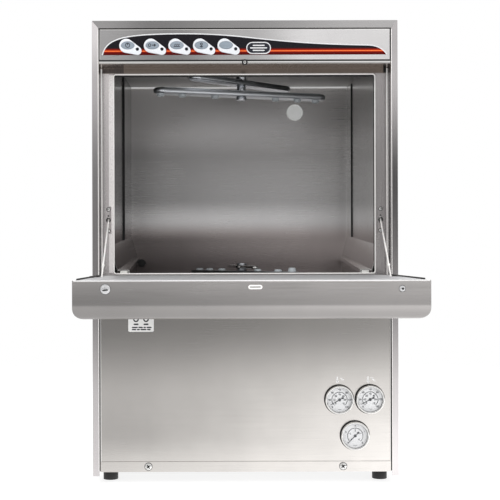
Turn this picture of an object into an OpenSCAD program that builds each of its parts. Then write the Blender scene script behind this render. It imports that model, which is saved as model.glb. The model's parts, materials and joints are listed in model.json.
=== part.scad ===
// Undercounter glass washer with a drop-down door.
// Origin: centre of the whole object's footprint, at floor level. The front faces -Y.
// The door is drawn open, which is its rest position.

/* [Cabinet] */
// Width over the side panels
cab_w = 610; // [600:1:640]
// Height from the floor to the top panel
cab_h = 925; // [920:1:940]
// Depth from the front flange to the back panel
cab_d = 620; // [615:1:640]
// Gap under the cabinet that the feet hold open
foot_gap = 25; // [24:1:26]
// Width of the front flange on each side panel
flange_w = 13; // [10:1:14]
// Height of the front flange on the top panel
top_flange_h = 15; // [12:1:18]
// Thickness of the cabinet sheet
sheet = 1.5; // [1.2:0.1:1.8]
// Depth of the door recess, to the face of the door frame
recess_d = 50; // [50:1:52]

/* [Wash chamber] */
// Half width of the door opening
opening_half_w = 267; // [260:1:268]
// Height of the sill above the floor
sill_z = 419; // [418:1:420]
// Height of the top of the door opening
opening_top_z = 827; // [820:1:829]
// Half width between the chamber walls
chamber_half_w = 273.5; // [270:0.5:273.5]
// Depth of the chamber's back wall behind the front flange
chamber_back_d = 556; // [550:1:556]
// Underside of the chamber ceiling at the back
ceiling_back_z = 883; // [878:1:884]
// Underside of the chamber ceiling at the front
ceiling_front_z = 866; // [862:1:868]
// Bottom of the chamber walls, where the wash tank starts
tank_top_z = 400; // [396:1:402]
// Bottom of the wash tank
tank_bottom_z = 240; // [236:1:250]

/* [Spray arms] */
// Depth of the arm spindles behind the front flange
arm_hub_d = 302; // [298:1:306]
// Half length of the wash arms
wash_arm_r = 206; // [190:1:208]
// Half length of the rinse arms
rinse_arm_r = 148; // [140:1:160]
// Underside of the upper wash arm
upper_wash_z = 818; // [816:1:819]
// Underside of the upper rinse arm
upper_rinse_z = 843; // [842:1:846]
// Underside of the lower wash arm
lower_wash_z = 408; // [407:1:414]
// Underside of the lower rinse arm
lower_rinse_z = 427; // [426.5:0.5:433]
// Angle of the upper wash arm
upper_wash_angle = 17; // [0:0.5:90]
// Angle of the upper rinse arm
upper_rinse_angle = 39.5; // [0:0.5:90]
// Angle of the lower wash arm
lower_wash_angle = 123; // [90:0.5:180]
// Angle of the lower rinse arm
lower_rinse_angle = 100; // [0:0.5:180]
// Radius of the arm spindles
spindle_r = 7; // [6:0.5:8]

/* [Door] */
// Depth of the hinge axis behind the front flange
hinge_d = 40; // [39:0.5:41]
// Height of the hinge axis
hinge_z = 409; // [408:0.5:410]
// Radius of the hinge pins
hinge_pin_r = 4; // [3.5:0.5:4.5]
// Half width of the door body
door_half_w = 290; // [288:0.5:290]
// Reach of the open door, from the hinge axis to its outer end
door_reach = 427; // [420:1:427]
// Thickness of the door body
door_t = 45.5; // [44:0.5:46]
// Half width of the handle
handle_half_w = 291; // [290:0.5:291]
// Height of the handle face when the door is open
handle_h = 64; // [60:1:66]
// Length of the handle along the door
handle_len = 40; // [36:1:44]
// Radius of the handle's outer corners
handle_corner_r = 15; // [12:1:20]

/* [Stay rods] */
// Distance from the hinge axis to each rod's pivot, and to its guide
stay_r = 120; // [118:1:122]
// Distance of the rods from the centre line
rod_x = 278; // [277.5:0.5:280]
// Radius of a stay rod
rod_r = 2; // [1.8:0.1:2.4]

/* [Controls] */
// Distance between neighbouring buttons
button_pitch = 49; // [47:0.5:50]
// Distance of the first button from the centre line
first_button_x = 233.3; // [230:0.1:236]
// Height of the button centres
button_z = 875.4; // [873:0.1:877]
// Free travel of a button
button_travel = 1.5; // [1:0.1:1.8]

/* [Gauges] */
// Radius of a gauge bezel
gauge_r = 28.5; // [26:0.5:29]
// How far the bezels stand in front of the flange
gauge_proud = 12; // [10:0.5:13]

/* [Feet] */
// Distance of the feet from the centre line
foot_x = 275; // [265:1:276]
// Radius of a foot pad
foot_r = 15; // [14:1:18]
// Adjustment range of a foot
foot_travel = 12; // [8:1:12]

/* [Hidden] */
$fn = 64;
screw_proud = 2;     // height of the screw heads on the handle
front_reach = door_reach - hinge_d + screw_proud;
rear_reach = cab_d + 25;                  // pipe stubs stand 25 behind the cabinet
front_y = (front_reach - rear_reach) / 2; // centres the whole object on the origin
half_w = cab_w / 2;
inner_half_w = half_w - sheet;
recess_half_w = half_w - flange_w;
wall_t = 1.2;
frame_back_d = recess_d + sheet;
skirt_half_w = 260;
cove_top_front_z = 475;
cove_top_back_z = 504;
cove_low_front_z = 427;
cove_low_back_z = 458;
port_x = 141;
port_z = 818;
probe_x = -247;
probe_z = 437;
panel_top_z = 362;
panel_half_w = 290;  // a gap shows beside both front panels
side_low_z = 16;      // bottom edge of the side and back panels
strip_low_z = 24;
strip_top_z = 45;
control_low_z = 847;
control_high_z = 908;
slot_half_w = rod_r + 0.6;  // guide slot that a stay rod slides through
stay_nut_r = 3.1;    // stop nut at the end of a stay rod, wider than the slot
run_gap = 0.05;      // radial clearance of a running fit
side_gap = 0.3;      // clearance between faces that slide past each other
arm_t = 13;
upper_rinse_t = 12;
lower_rinse_t = 6;
door_low_z = hinge_z + 7;                 // inner face of the open door
door_end_d = hinge_d - door_reach;        // outer end of the open door
handle_back_d = door_end_d + handle_len;
door_hinge_end_d = hinge_d + 5;
pocket_x = 270;      // rod pockets run from here to the door's side wall
stay_pivot_d = hinge_d - stay_r;
guide_rise = sqrt(stay_r * stay_r - pow(recess_d - hinge_d, 2));
guide_z = hinge_z + guide_rise;
stay_span = norm([recess_d - stay_pivot_d, guide_rise]);
stay_angle = atan2(guide_rise, recess_d - stay_pivot_d);
stay_pin_r = 2;
panel_face_d = 1.5;  // front face of the control panel
surround_face_d = -2;
lower_face_d = 2;    // front face of the lower panel
dial_d = -5;
gauge_body_r = 25;
gauges = [[186.6, 168, -30], [247.8, 168.6, -30], [217.7, 96.4, -45]];
foot_ds = [55, 565];
stem_r = 5;
pump_z = 125;
motor_shaft_r = 6;
stub_neck = 3;       // the pipe stubs are thinner over this length outside the back panel
inlet_r = 13;
inlet_x = 200;
inlet_z = 80;
drain_r = 20;
drain_x = -180;
drain_z = 68;

// ---- Helpers. In every sub-part, Y is the depth behind the front flange. ----
module in_place() { translate([0, front_y, 0]) children(); }
module block(low, high) { translate(low) cube(high - low); }
// Extrudes an outline drawn in (depth, height) from x0 to x1
module along_x(x0, x1) { translate([x0, 0, 0]) rotate([90, 0, 90]) linear_extrude(x1 - x0) children(); }
// Extrudes an outline drawn in (x, height) from depth d0 to d1
module along_depth(d0, d1) { translate([0, d1, 0]) rotate([90, 0, 0]) linear_extrude(d1 - d0) children(); }
module cyl_x(r, x0, x1, d, z) { translate([x0, d, z]) rotate([0, 90, 0]) cylinder(r = r, h = x1 - x0); }
module cyl_depth(r, d0, d1, x, z) { translate([x, d1, z]) rotate([90, 0, 0]) cylinder(r = r, h = d1 - d0); }
module cyl_z(r, z0, z1, x, d) { translate([x, d, z0]) cylinder(r = r, h = z1 - z0); }
// Both sides of a shape that is drawn on the right
module both_sides() { children(); mirror([1, 0, 0]) children(); }
// A bar with round ends, in the plane
module round_bar(len, wid) {
    square([len - wid, wid], center = true);
    for (s = [-1, 1]) translate([s * (len - wid) / 2, 0]) circle(d = wid);
}
function bezier(p0, p1, p2, p3, t) =
    pow(1 - t, 3) * p0 + 3 * t * pow(1 - t, 2) * p1 + 3 * t * t * (1 - t) * p2 + pow(t, 3) * p3;

// ---- Cabinet ----
module base_pan() {
    wall_top_z = foot_gap + 20;
    color("silver") in_place() difference() {
        union() {
            difference() {
                block([-inner_half_w, 4, foot_gap], [inner_half_w, cab_d - sheet, wall_top_z]);
                block([-inner_half_w + sheet, 4 + sheet, foot_gap + sheet],
                      [inner_half_w - sheet, cab_d - 2 * sheet, wall_top_z + 1]);
            }
            for (x = [-foot_x, foot_x], d = foot_ds) cyl_z(13, foot_gap, wall_top_z, x, d);
        }
        for (x = [-foot_x, foot_x], d = foot_ds) cyl_z(stem_r + run_gap, foot_gap - 1, wall_top_z + 1, x, d);
    }
}

module side_panel() {
    along_depth(0, sheet) polygon([[recess_half_w, side_low_z], [half_w, side_low_z], [half_w, cab_h],
                                   [recess_half_w, cab_h - top_flange_h]]);
    block([inner_half_w, sheet, side_low_z], [half_w, cab_d, cab_h - sheet]);
    difference() {
        block([recess_half_w, sheet, 46], [recess_half_w + sheet, recess_d, cab_h - top_flange_h]);
        cyl_x(hinge_pin_r + 1, recess_half_w - 1, recess_half_w + 3, hinge_d, hinge_z);
    }
}
module left_side_panel() { color("lightgrey") in_place() mirror([1, 0, 0]) side_panel(); }
module right_side_panel() { color("lightgrey") in_place() side_panel(); }

module top_panel() {
    color("lightgrey") in_place() {
        along_depth(0, sheet) polygon([[-half_w, cab_h], [half_w, cab_h],
                                       [recess_half_w, cab_h - top_flange_h],
                                       [-recess_half_w, cab_h - top_flange_h]]);
        block([-half_w, sheet, cab_h - sheet], [half_w, cab_d, cab_h]);
    }
}

module back_panel() {
    vent_pitch = 18;
    color("silver") in_place() difference() {
        block([-inner_half_w, cab_d - sheet, side_low_z], [inner_half_w, cab_d, cab_h - sheet]);
        for (x = [-120, 60], i = [0 : 5])
            block([x - 60, cab_d - 5, 230 + i * vent_pitch], [x + 60, cab_d + 5, 236 + i * vent_pitch]);
        cyl_depth(inlet_r + side_gap, cab_d - 5, cab_d + 5, inlet_x, inlet_z);
        cyl_depth(drain_r + side_gap, cab_d - 5, cab_d + 5, drain_x, drain_z);
        cyl_depth(11, cab_d - 5, cab_d + 5, 235, 140);
    }
}

module door_frame() {
    header_z = 839;
    color("grey") in_place() {
        difference() {
            block([-inner_half_w, recess_d, 340], [inner_half_w, frame_back_d, cab_h - sheet]);
            block([-opening_half_w, recess_d - 1, sill_z], [opening_half_w, frame_back_d + 1, opening_top_z]);
            both_sides() block([rod_x - slot_half_w, recess_d - 1, guide_z - 6.5],
                               [rod_x + slot_half_w, frame_back_d + 1, guide_z + 6.5]);
        }
        block([-recess_half_w, sheet, header_z], [recess_half_w, recess_d, header_z + sheet]);
        block([-recess_half_w, sheet, header_z], [recess_half_w, 2 * sheet, header_z + 5]);
    }
}

module lower_panel() {
    color("lightgrey") in_place() difference() {
        union() {
            block([-panel_half_w, lower_face_d, strip_top_z - sheet],
                  [panel_half_w, lower_face_d + sheet, panel_top_z]);
            block([-panel_half_w, 0.5, strip_low_z], [panel_half_w, lower_face_d, strip_top_z]);
            block([-panel_half_w, lower_face_d + sheet, panel_top_z - sheet],
                  [panel_half_w, recess_d, panel_top_z]);
        }
        for (g = gauges) cyl_depth(gauge_body_r, -5, 10, g[0], g[1]);
    }
}

// The screws that show: bottom strip, header and rod guides
module panel_screws() {
    color("silver") in_place() {
        for (x = [-194.3, 194.3]) cyl_depth(7, -2, 0.5, x, 35);
        cyl_depth(4, 0, sheet, 0, 841.5);
        for (x = [-rod_x, rod_x], z = [-1, 1]) cyl_depth(3.5, 46.5, 48.5, x, guide_z + z * 22);
    }
}

module data_label() {
    color("white") in_place() block([-234, lower_face_d - 0.2, 304], [-183, lower_face_d, 352]);
}

module hinge_brackets() {
    color("dimgrey") in_place() both_sides() difference() {
        block([recess_half_w + sheet, 28, hinge_z - 12], [recess_half_w + 9.5, recess_d, hinge_z + 12]);
        cyl_x(hinge_pin_r + run_gap, recess_half_w, recess_half_w + 12, hinge_d, hinge_z);
    }
}

module rod_guides() {
    color("silver") in_place() both_sides() difference() {
        block([rod_x - 6, recess_d - sheet, guide_z - 28], [rod_x + 6, recess_d, guide_z + 28]);
        block([rod_x - slot_half_w, recess_d - 3, guide_z - 6.5],
              [rod_x + slot_half_w, recess_d + 1, guide_z + 6.5]);
    }
}

// ---- Controls ----
module key_outline(grow) { round_bar(24 + 2 * grow, 14 + 2 * grow); }
module at_keys() {
    for (i = [0 : 4]) translate([-first_button_x + i * button_pitch, button_z]) children();
}
module surround_outline() {
    hull() {
        translate([0.5, -1]) circle(d = 32.5, $fn = 48);
        translate([22, -9]) circle(d = 11, $fn = 32);
    }
}
lamp_offset = [19.3, -7.6];

module control_panel() {
    color("gainsboro") in_place() {
        along_depth(panel_face_d, panel_face_d + sheet) difference() {
            translate([-panel_half_w, control_low_z]) square([2 * panel_half_w, control_high_z - control_low_z]);
            at_keys() {
                key_outline(1);
                translate(lamp_offset) circle(r = 2.5);
            }
        }
        for (z = [control_low_z, control_high_z - sheet])
            block([-panel_half_w, panel_face_d + sheet, z], [panel_half_w, 20, z + sheet]);
    }
}

// Curved printed overlay with its raised blank badge
module control_overlay() {
    base_z = 856.6;
    steps = 10;
    left = [for (i = [0 : steps]) bezier([-283.7, base_z], [-276, 889], [-245, 898], [-130, 898.5], i / steps)];
    middle = [for (i = [1 : steps]) bezier([-130, 898.5], [10, 899], [30, 879], [247, 875], i / steps)];
    tip = [for (i = [1 : steps]) bezier([247, 875], [262, 874.5], [274, 870], [283.5, base_z], i / steps)];
    color("black") in_place() {
        along_depth(panel_face_d - 0.3, panel_face_d) difference() {
            polygon(concat(left, middle, tip));
            at_keys() {
                key_outline(1);
                translate(lamp_offset) circle(r = 2.5);
            }
        }
        along_depth(panel_face_d - 1, panel_face_d - 0.3) translate([27.8, 870]) round_bar(49.5, 24);
    }
}

module button_surrounds() {
    color("white") in_place() along_depth(surround_face_d, panel_face_d - 0.3)
        at_keys() difference() {
            surround_outline();
            key_outline(side_gap);
            translate(lamp_offset) circle(r = 2.5);
        }
}

module indicator_lights() {
    color("darkred") in_place() for (i = [0 : 4])
        cyl_depth(2.5, surround_face_d - 0.8, 8, -first_button_x + i * button_pitch + lamp_offset[0],
                  button_z + lamp_offset[1]);
}

module button(i) {
    x = -first_button_x + i * button_pitch;
    color("grey") in_place() {
        along_depth(surround_face_d - button_travel, 4) translate([x, button_z]) key_outline(0);
        cyl_depth(3, 4, 8, x, button_z);
    }
}
module power_button() { button(0); }
module start_button() { button(1); }
module fill_button() { button(2); }
module drain_button() { button(3); }
module delime_button() { button(4); }

module control_board() {
    board_d = 14;
    color("green") in_place() {
        block([-262, board_d, 852], [60, board_d + 2, 900]);
        for (x = [-255, 50], z = [857, 895]) cyl_depth(3, panel_face_d + sheet, board_d, x, z);
        for (x = [-200 : 60 : 40]) block([x, board_d + 2, 862], [x + 30, board_d + 16, 888]);
    }
}

// ---- Wash chamber ----
module chamber_wall() {
    along_x(chamber_half_w, chamber_half_w + wall_t)
        polygon([[frame_back_d, cove_top_front_z], [chamber_back_d, cove_top_back_z],
                 [chamber_back_d, ceiling_back_z], [frame_back_d, ceiling_front_z]]);
    // Sloping lower side, from the wall down to the skirt
    hull() {
        block([chamber_half_w, frame_back_d, cove_top_front_z],
              [chamber_half_w + wall_t, frame_back_d + 0.5, cove_top_front_z + wall_t]);
        block([chamber_half_w, chamber_back_d - 0.5, cove_top_back_z],
              [chamber_half_w + wall_t, chamber_back_d, cove_top_back_z + wall_t]);
        block([skirt_half_w, frame_back_d, cove_low_front_z - wall_t],
              [skirt_half_w + wall_t, frame_back_d + 0.5, cove_low_front_z]);
        block([skirt_half_w, chamber_back_d - 0.5, cove_low_back_z - wall_t],
              [skirt_half_w + wall_t, chamber_back_d, cove_low_back_z]);
    }
    along_x(skirt_half_w, skirt_half_w + wall_t)
        polygon([[frame_back_d, tank_top_z], [chamber_back_d, tank_top_z],
                 [chamber_back_d, cove_low_back_z], [frame_back_d, cove_low_front_z]]);
}
module left_chamber_wall() { color("darkgrey") in_place() mirror([1, 0, 0]) chamber_wall(); }
module right_chamber_wall() { color("darkgrey") in_place() chamber_wall(); }

module chamber_back_wall() {
    color("darkgrey") in_place() difference() {
        block([-chamber_half_w - wall_t, chamber_back_d, tank_top_z],
              [chamber_half_w + wall_t, chamber_back_d + wall_t, ceiling_back_z]);
        cyl_depth(8, chamber_back_d - 5, chamber_back_d + 5, port_x, port_z);
        cyl_depth(6, chamber_back_d - 5, chamber_back_d + 5, probe_x, probe_z);
    }
}

module chamber_ceiling() {
    color("darkgrey") in_place() difference() {
        along_x(-chamber_half_w - wall_t, chamber_half_w + wall_t)
            polygon([[frame_back_d, ceiling_front_z], [chamber_back_d, ceiling_back_z],
                     [chamber_back_d + wall_t, ceiling_back_z],
                     [chamber_back_d + wall_t, ceiling_back_z + wall_t],
                     [frame_back_d, ceiling_front_z + wall_t]]);
        cyl_z(12, ceiling_front_z - 5, ceiling_back_z + 5, 0, arm_hub_d);
    }
}

module wash_tank() {
    outer = skirt_half_w + wall_t;
    color("darkgrey") in_place() difference() {
        union() {
            difference() {
                block([-outer, frame_back_d, tank_bottom_z], [outer, chamber_back_d + wall_t, tank_top_z]);
                block([-skirt_half_w, frame_back_d + sheet, tank_bottom_z + sheet],
                      [skirt_half_w, chamber_back_d, tank_top_z + 1]);
            }
            block([-skirt_half_w, frame_back_d, tank_top_z], [skirt_half_w, frame_back_d + sheet, sill_z]);
        }
        cyl_z(15, tank_bottom_z - 1, tank_bottom_z + 3, 0, arm_hub_d);
        cyl_z(16, tank_bottom_z - 1, tank_bottom_z + 3, 90, arm_hub_d);
        cyl_z(16, tank_bottom_z - 1, tank_bottom_z + 3, drain_x, 480);
        for (d = [150, 200]) cyl_x(5, -outer - 1, -skirt_half_w + 1, d, 270);
    }
}

// Rails that carry the rack, with a turned-down inner lip
module rack_rails() {
    near_d = frame_back_d + 2;
    far_d = chamber_back_d - 1;
    color("lightgrey") in_place() both_sides() {
        hull() {
            block([236, near_d, 425.5], [skirt_half_w, near_d + 1, 427]);
            block([251, far_d - 1, 452.5], [skirt_half_w, far_d, 454]);
        }
        hull() {
            block([236, near_d, 419], [237.5, near_d + 1, 427]);
            block([251, far_d - 1, 446], [252.5, far_d, 454]);
        }
    }
}

module rack_stops() {
    color("white") in_place() both_sides()
        block([239.5, frame_back_d + sheet, 405], [255, frame_back_d + 22, 425.3]);
}

module port_cap() {
    color("whitesmoke") in_place() {
        cyl_depth(20.5, chamber_back_d - 3, chamber_back_d, port_x, port_z);
        cyl_depth(8, chamber_back_d, chamber_back_d + 10, port_x, port_z);
    }
}

module temperature_probe() {
    color("black") in_place() {
        cyl_depth(9.5, chamber_back_d - 12, chamber_back_d, probe_x, probe_z);
        cyl_depth(6, chamber_back_d, chamber_back_d + 16, probe_x, probe_z);
    }
}

// ---- Spray system ----
module upper_manifold() {
    pipe_r = 14;
    pipe_z = 901;
    riser_d = 588;
    feed_z = 218;
    color("darkgrey") in_place() {
        cyl_depth(pipe_r, 317, riser_d, 0, feed_z);
        cyl_z(pipe_r, feed_z, pipe_z, 0, riser_d);
        cyl_depth(pipe_r, arm_hub_d, riser_d, 0, pipe_z);
        cyl_z(12, upper_rinse_z + upper_rinse_t + side_gap, pipe_z, 0, arm_hub_d);
        cyl_z(spindle_r, upper_wash_z - 3, upper_rinse_z + upper_rinse_t + 2, 0, arm_hub_d);
        cyl_z(10, upper_wash_z + arm_t + side_gap, upper_rinse_z - side_gap, 0, arm_hub_d);
        cyl_z(11, upper_wash_z - 7, upper_wash_z - side_gap, 0, arm_hub_d);
    }
}

module lower_manifold() {
    color("darkgrey") in_place() {
        cyl_z(15, tank_bottom_z, tank_top_z + 5, 0, arm_hub_d);
        cyl_z(12, tank_top_z + 5, lower_wash_z - side_gap, 0, arm_hub_d);
        cyl_z(spindle_r, tank_top_z, lower_rinse_z + lower_rinse_t + 3, 0, arm_hub_d);
        cyl_z(10, lower_wash_z + arm_t + side_gap, lower_rinse_z - side_gap, 0, arm_hub_d);
        cyl_z(11, lower_rinse_z + lower_rinse_t + side_gap, lower_rinse_z + lower_rinse_t + 5, 0, arm_hub_d);
    }
}

// A flat tube with round ends, its bore on the Z axis, resting on z = 0
module arm_tube(half_len, wid, t) {
    difference() {
        linear_extrude(t) union() {
            round_bar(2 * half_len, wid);
            circle(r = 14);
        }
        translate([0, 0, -1]) cylinder(r = spindle_r + run_gap, h = t + 2);
    }
}
// side is -1 for nozzles under the arm and 1 for nozzles on it
module wash_arm(side, nozzle_t) {
    arm_tube(wash_arm_r, 38, arm_t);
    for (x = [-190, -140, -63, 83, 137, 182])
        translate([x, 0, side > 0 ? arm_t : -nozzle_t]) cylinder(r = 8.5, h = nozzle_t);
}
module on_spindle(z, angle) { translate([0, arm_hub_d, z]) rotate([0, 0, angle]) children(); }

module upper_wash_arm() { color("silver") in_place() on_spindle(upper_wash_z, upper_wash_angle) wash_arm(-1, 5); }
module upper_rinse_arm() {
    color("white") in_place() on_spindle(upper_rinse_z, upper_rinse_angle)
        arm_tube(rinse_arm_r, 34, upper_rinse_t);
}
module lower_wash_arm() {
    color("silver") in_place() on_spindle(lower_wash_z, lower_wash_angle) wash_arm(1, 4);
}
module lower_rinse_arm() {
    color("white") in_place() on_spindle(lower_rinse_z, lower_rinse_angle)
        arm_tube(rinse_arm_r, 14, lower_rinse_t);
}

// ---- Tank and pump ----
module tank_strainer() {
    plate_z = 394;
    color("silver") in_place() difference() {
        union() {
            block([-skirt_half_w, frame_back_d + sheet, plate_z], [skirt_half_w, chamber_back_d, plate_z + sheet]);
            cyl_z(50, 330, plate_z, 130, arm_hub_d);
        }
        cyl_z(48.5, 331.5, plate_z + 5, 130, arm_hub_d);
        cyl_z(15, plate_z - 1, plate_z + 5, 0, arm_hub_d);
        for (x = [-220 : 44 : 0], d = [90 : 60 : 510])
            block([x - 15, d, plate_z - 1], [x + 15, d + 5, plate_z + 5]);
    }
}

module tank_heater() {
    bar_r = 5;
    bar_z = 270;
    color("dimgrey") in_place() {
        for (d = [150, 200]) cyl_x(bar_r, -skirt_half_w - 25, 150, d, bar_z);
        translate([150, 175, bar_z]) rotate([0, 0, -90]) rotate_extrude(angle = 180)
            translate([25, 0]) circle(r = bar_r);
    }
}

module pump_housing() {
    color("grey") in_place() difference() {
        union() {
            cyl_x(70, -25, 25, arm_hub_d, pump_z);
            cyl_z(15, pump_z + 60, tank_bottom_z, 0, arm_hub_d);
            cyl_x(16, 25, 90, arm_hub_d, pump_z);
            cyl_z(16, pump_z - 16, tank_bottom_z, 90, arm_hub_d);
        }
        cyl_x(62, -20, 20, arm_hub_d, pump_z);
        cyl_x(motor_shaft_r + 1, -30, 0, arm_hub_d, pump_z);
        cyl_x(12, 0, 90, arm_hub_d, pump_z);
    }
}

module pump_motor() {
    color("dimgrey") in_place() difference() {
        union() {
            cyl_x(60, -205, -25, arm_hub_d, pump_z);
            block([-180, arm_hub_d - 45, foot_gap + sheet], [-60, arm_hub_d + 45, pump_z - 40]);
        }
        cyl_x(motor_shaft_r + run_gap, -90, 0, arm_hub_d, pump_z);
    }
}

module pump_impeller() {
    color("gold") in_place() {
        cyl_x(motor_shaft_r, -85, 6, arm_hub_d, pump_z);
        cyl_x(56, -10, -5, arm_hub_d, pump_z);
        for (a = [0 : 45 : 315]) translate([-6, arm_hub_d, pump_z]) rotate([a, 0, 0])
            block([0, 5, -2], [14, 55, 2]);
    }
}

module booster_tank() {
    x = 170;
    d = 430;
    color("lightgrey") in_place() {
        cyl_z(75, 40, 215, x, d);
        for (dx = [-50, 50]) block([x + dx - 8, d - 45, foot_gap + sheet], [x + dx + 8, d + 45, 40]);
        cyl_depth(22, d - 100, d - 60, x, 90);
    }
}

module inlet_valve() {
    color("goldenrod") in_place() {
        cyl_depth(16, 585, cab_d - sheet, inlet_x, inlet_z);
        cyl_depth(inlet_r - 1, cab_d - sheet, cab_d + stub_neck, inlet_x, inlet_z);
        cyl_depth(inlet_r, cab_d + stub_neck, rear_reach, inlet_x, inlet_z);
        block([inlet_x - 18, 540, inlet_z - 18], [inlet_x + 18, 588, inlet_z + 18]);
        cyl_z(15, inlet_z + 18, inlet_z + 58, inlet_x, 564);
        cyl_z(12, foot_gap + sheet, inlet_z - 18, inlet_x, 564);
    }
}

module drain_outlet() {
    color("dimgrey") in_place() {
        cyl_depth(22, 480, cab_d - sheet, drain_x, drain_z);
        cyl_depth(drain_r - 1, cab_d - sheet, cab_d + stub_neck, drain_x, drain_z);
        cyl_depth(drain_r, cab_d + stub_neck, rear_reach, drain_x, drain_z);
        cyl_z(16, drain_z, tank_bottom_z, drain_x, 480);
    }
}

// ---- Gauges ----
module gauge_cases() {
    cup_r = gauge_r - 2.5;
    color("silver") in_place() for (g = gauges) {
        difference() {
            union() {
                cyl_depth(gauge_r, -gauge_proud, lower_face_d, g[0], g[1]);
                cyl_depth(gauge_body_r, lower_face_d, 36, g[0], g[1]);
            }
            cyl_depth(cup_r, -gauge_proud - 1, dial_d, g[0], g[1]);
        }
        cyl_depth(1, dial_d - 2.6, dial_d, g[0], g[1]);
    }
}

module gauge_lenses() {
    color("lightblue") in_place() for (g = gauges)
        cyl_depth(gauge_r - 2.5, -gauge_proud + 1, -gauge_proud + 3, g[0], g[1]);
}

// A needle that points left at angle 0; a negative angle points it lower
module needle(i, tail) {
    g = gauges[i];
    hub_r = 2.8;
    color("black") in_place() difference() {
        union() {
            cyl_depth(hub_r, dial_d - 1.8, dial_d - 1, g[0], g[1]);
            along_depth(dial_d - 1.8, dial_d - 1) translate([g[0], g[1]]) rotate(-g[2])
                polygon([[-20, 0.2], [-20, -0.2], [0, -1.4], [tail, -1.8], [tail, 1.8], [0, 1.4]]);
        }
        cyl_depth(1 + run_gap, dial_d - 3, dial_d, g[0], g[1]);
    }
}
module wash_needle() { needle(0, 8); }
module rinse_needle() { needle(1, 8); }
module pressure_needle() { needle(2, 10); }

// ---- Door, drawn open ----
module rod_pockets(low_z, high_z) {
    both_sides() block([pocket_x, stay_pivot_d - 33, low_z], [door_half_w - sheet, stay_pivot_d + 34, high_z]);
}

module door_outer_skin() {
    outer_z = door_low_z - door_t;
    color("lightgrey") in_place() difference() {
        union() {
            block([-door_half_w, handle_back_d, outer_z], [door_half_w, door_hinge_end_d, outer_z + sheet]);
            both_sides() along_x(door_half_w - sheet, door_half_w)
                polygon([[handle_back_d, outer_z], [door_hinge_end_d, outer_z],
                         [door_hinge_end_d, door_low_z - 4], [door_hinge_end_d - 4, door_low_z],
                         [handle_back_d, door_low_z]]);
            block([-door_half_w, door_hinge_end_d - sheet, outer_z],
                  [door_half_w, door_hinge_end_d, door_low_z - 4]);
        }
        both_sides() {
            cyl_x(hinge_pin_r, pocket_x, door_half_w + 1, hinge_d, hinge_z);
            cyl_x(stay_pin_r, pocket_x, door_half_w + 1, stay_pivot_d, hinge_z);
        }
    }
}

module door_inner_skin() {
    liner_half_w = door_half_w - sheet;
    color("whitesmoke") in_place() difference() {
        union() {
            block([-liner_half_w, handle_back_d, door_low_z - sheet],
                  [liner_half_w, door_hinge_end_d - 4, door_low_z]);
            both_sides() block([pocket_x - sheet, stay_pivot_d - 33, door_low_z - 30],
                               [pocket_x, stay_pivot_d + 34, door_low_z - sheet]);
        }
        rod_pockets(door_low_z - 50, door_low_z + 1);
        both_sides() cyl_x(stay_pin_r, pocket_x - 3, pocket_x + 1, stay_pivot_d, hinge_z);
    }
}

// Box-section pull across the whole width, with rounded outer corners and a rounded lower edge
module door_handle() {
    low_z = door_low_z - handle_h;
    edge_r = 14;
    plate_z = 404;
    color("lightgrey") in_place() {
        difference() {
            intersection() {
                along_depth(door_end_d, handle_back_d) union() {
                    translate([-handle_half_w, low_z + handle_corner_r])
                        square([2 * handle_half_w, handle_h - handle_corner_r]);
                    translate([-handle_half_w + handle_corner_r, low_z])
                        square([2 * (handle_half_w - handle_corner_r), handle_corner_r + 1]);
                    for (s = [-1, 1])
                        translate([s * (handle_half_w - handle_corner_r), low_z + handle_corner_r])
                            circle(r = handle_corner_r);
                }
                along_x(-handle_half_w, handle_half_w) union() {
                    translate([door_end_d, low_z + edge_r]) square([handle_len, handle_h - edge_r]);
                    translate([door_end_d + edge_r, low_z]) square([handle_len - edge_r, edge_r + 1]);
                    translate([door_end_d + edge_r, low_z + edge_r]) circle(r = edge_r);
                }
            }
            block([-handle_half_w + 22, door_end_d + 10, low_z + 10],
                  [handle_half_w - 22, handle_back_d - sheet, door_low_z - sheet]);
        }
        along_depth(door_end_d - 1, door_end_d) translate([0, plate_z]) round_bar(26, 7);
    }
}

module handle_screws() {
    screw_z = 402;
    left_x = -237;
    right_x = 244;
    color("dimgrey") in_place() {
        cyl_depth(8, door_end_d - screw_proud, door_end_d, left_x, screw_z);
        cyl_depth(5, door_end_d - screw_proud, door_end_d, right_x, screw_z);
    }
}

// Hinge pins, and the short pins that the stay rods pivot on
module door_pins() {
    color("dimgrey") in_place() both_sides() {
        cyl_x(hinge_pin_r, pocket_x, recess_half_w + 9, hinge_d, hinge_z);
        cyl_x(stay_pin_r, pocket_x - sheet, door_half_w, stay_pivot_d, hinge_z);
    }
}

module stay_rod() {
    eye_half_w = 2.5;
    nut_from = stay_span + 8.6;
    color("silver") in_place() translate([rod_x, stay_pivot_d, hinge_z]) difference() {
        union() {
            rotate([0, 90, 0]) cylinder(r = 5, h = 2 * eye_half_w, center = true);
            rotate([stay_angle - 90, 0, 0]) {
                cylinder(r = rod_r, h = nut_from + 8);
                translate([0, 0, nut_from]) cylinder(r = stay_nut_r, h = 6);
            }
        }
        rotate([0, 90, 0]) cylinder(r = stay_pin_r + run_gap, h = 20, center = true);
    }
}
module left_stay_rod() { mirror([1, 0, 0]) stay_rod(); }
module right_stay_rod() { stay_rod(); }

// ---- Feet ----
module foot(side, d) {
    color("black") in_place() {
        cyl_z(foot_r, 0, foot_gap - side_gap, side * foot_x, d);
        cyl_z(stem_r, foot_gap / 2, 60, side * foot_x, d);
    }
}
module front_left_foot() { foot(-1, foot_ds[0]); }
module front_right_foot() { foot(1, foot_ds[0]); }
module rear_left_foot() { foot(-1, foot_ds[1]); }
module rear_right_foot() { foot(1, foot_ds[1]); }

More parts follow.
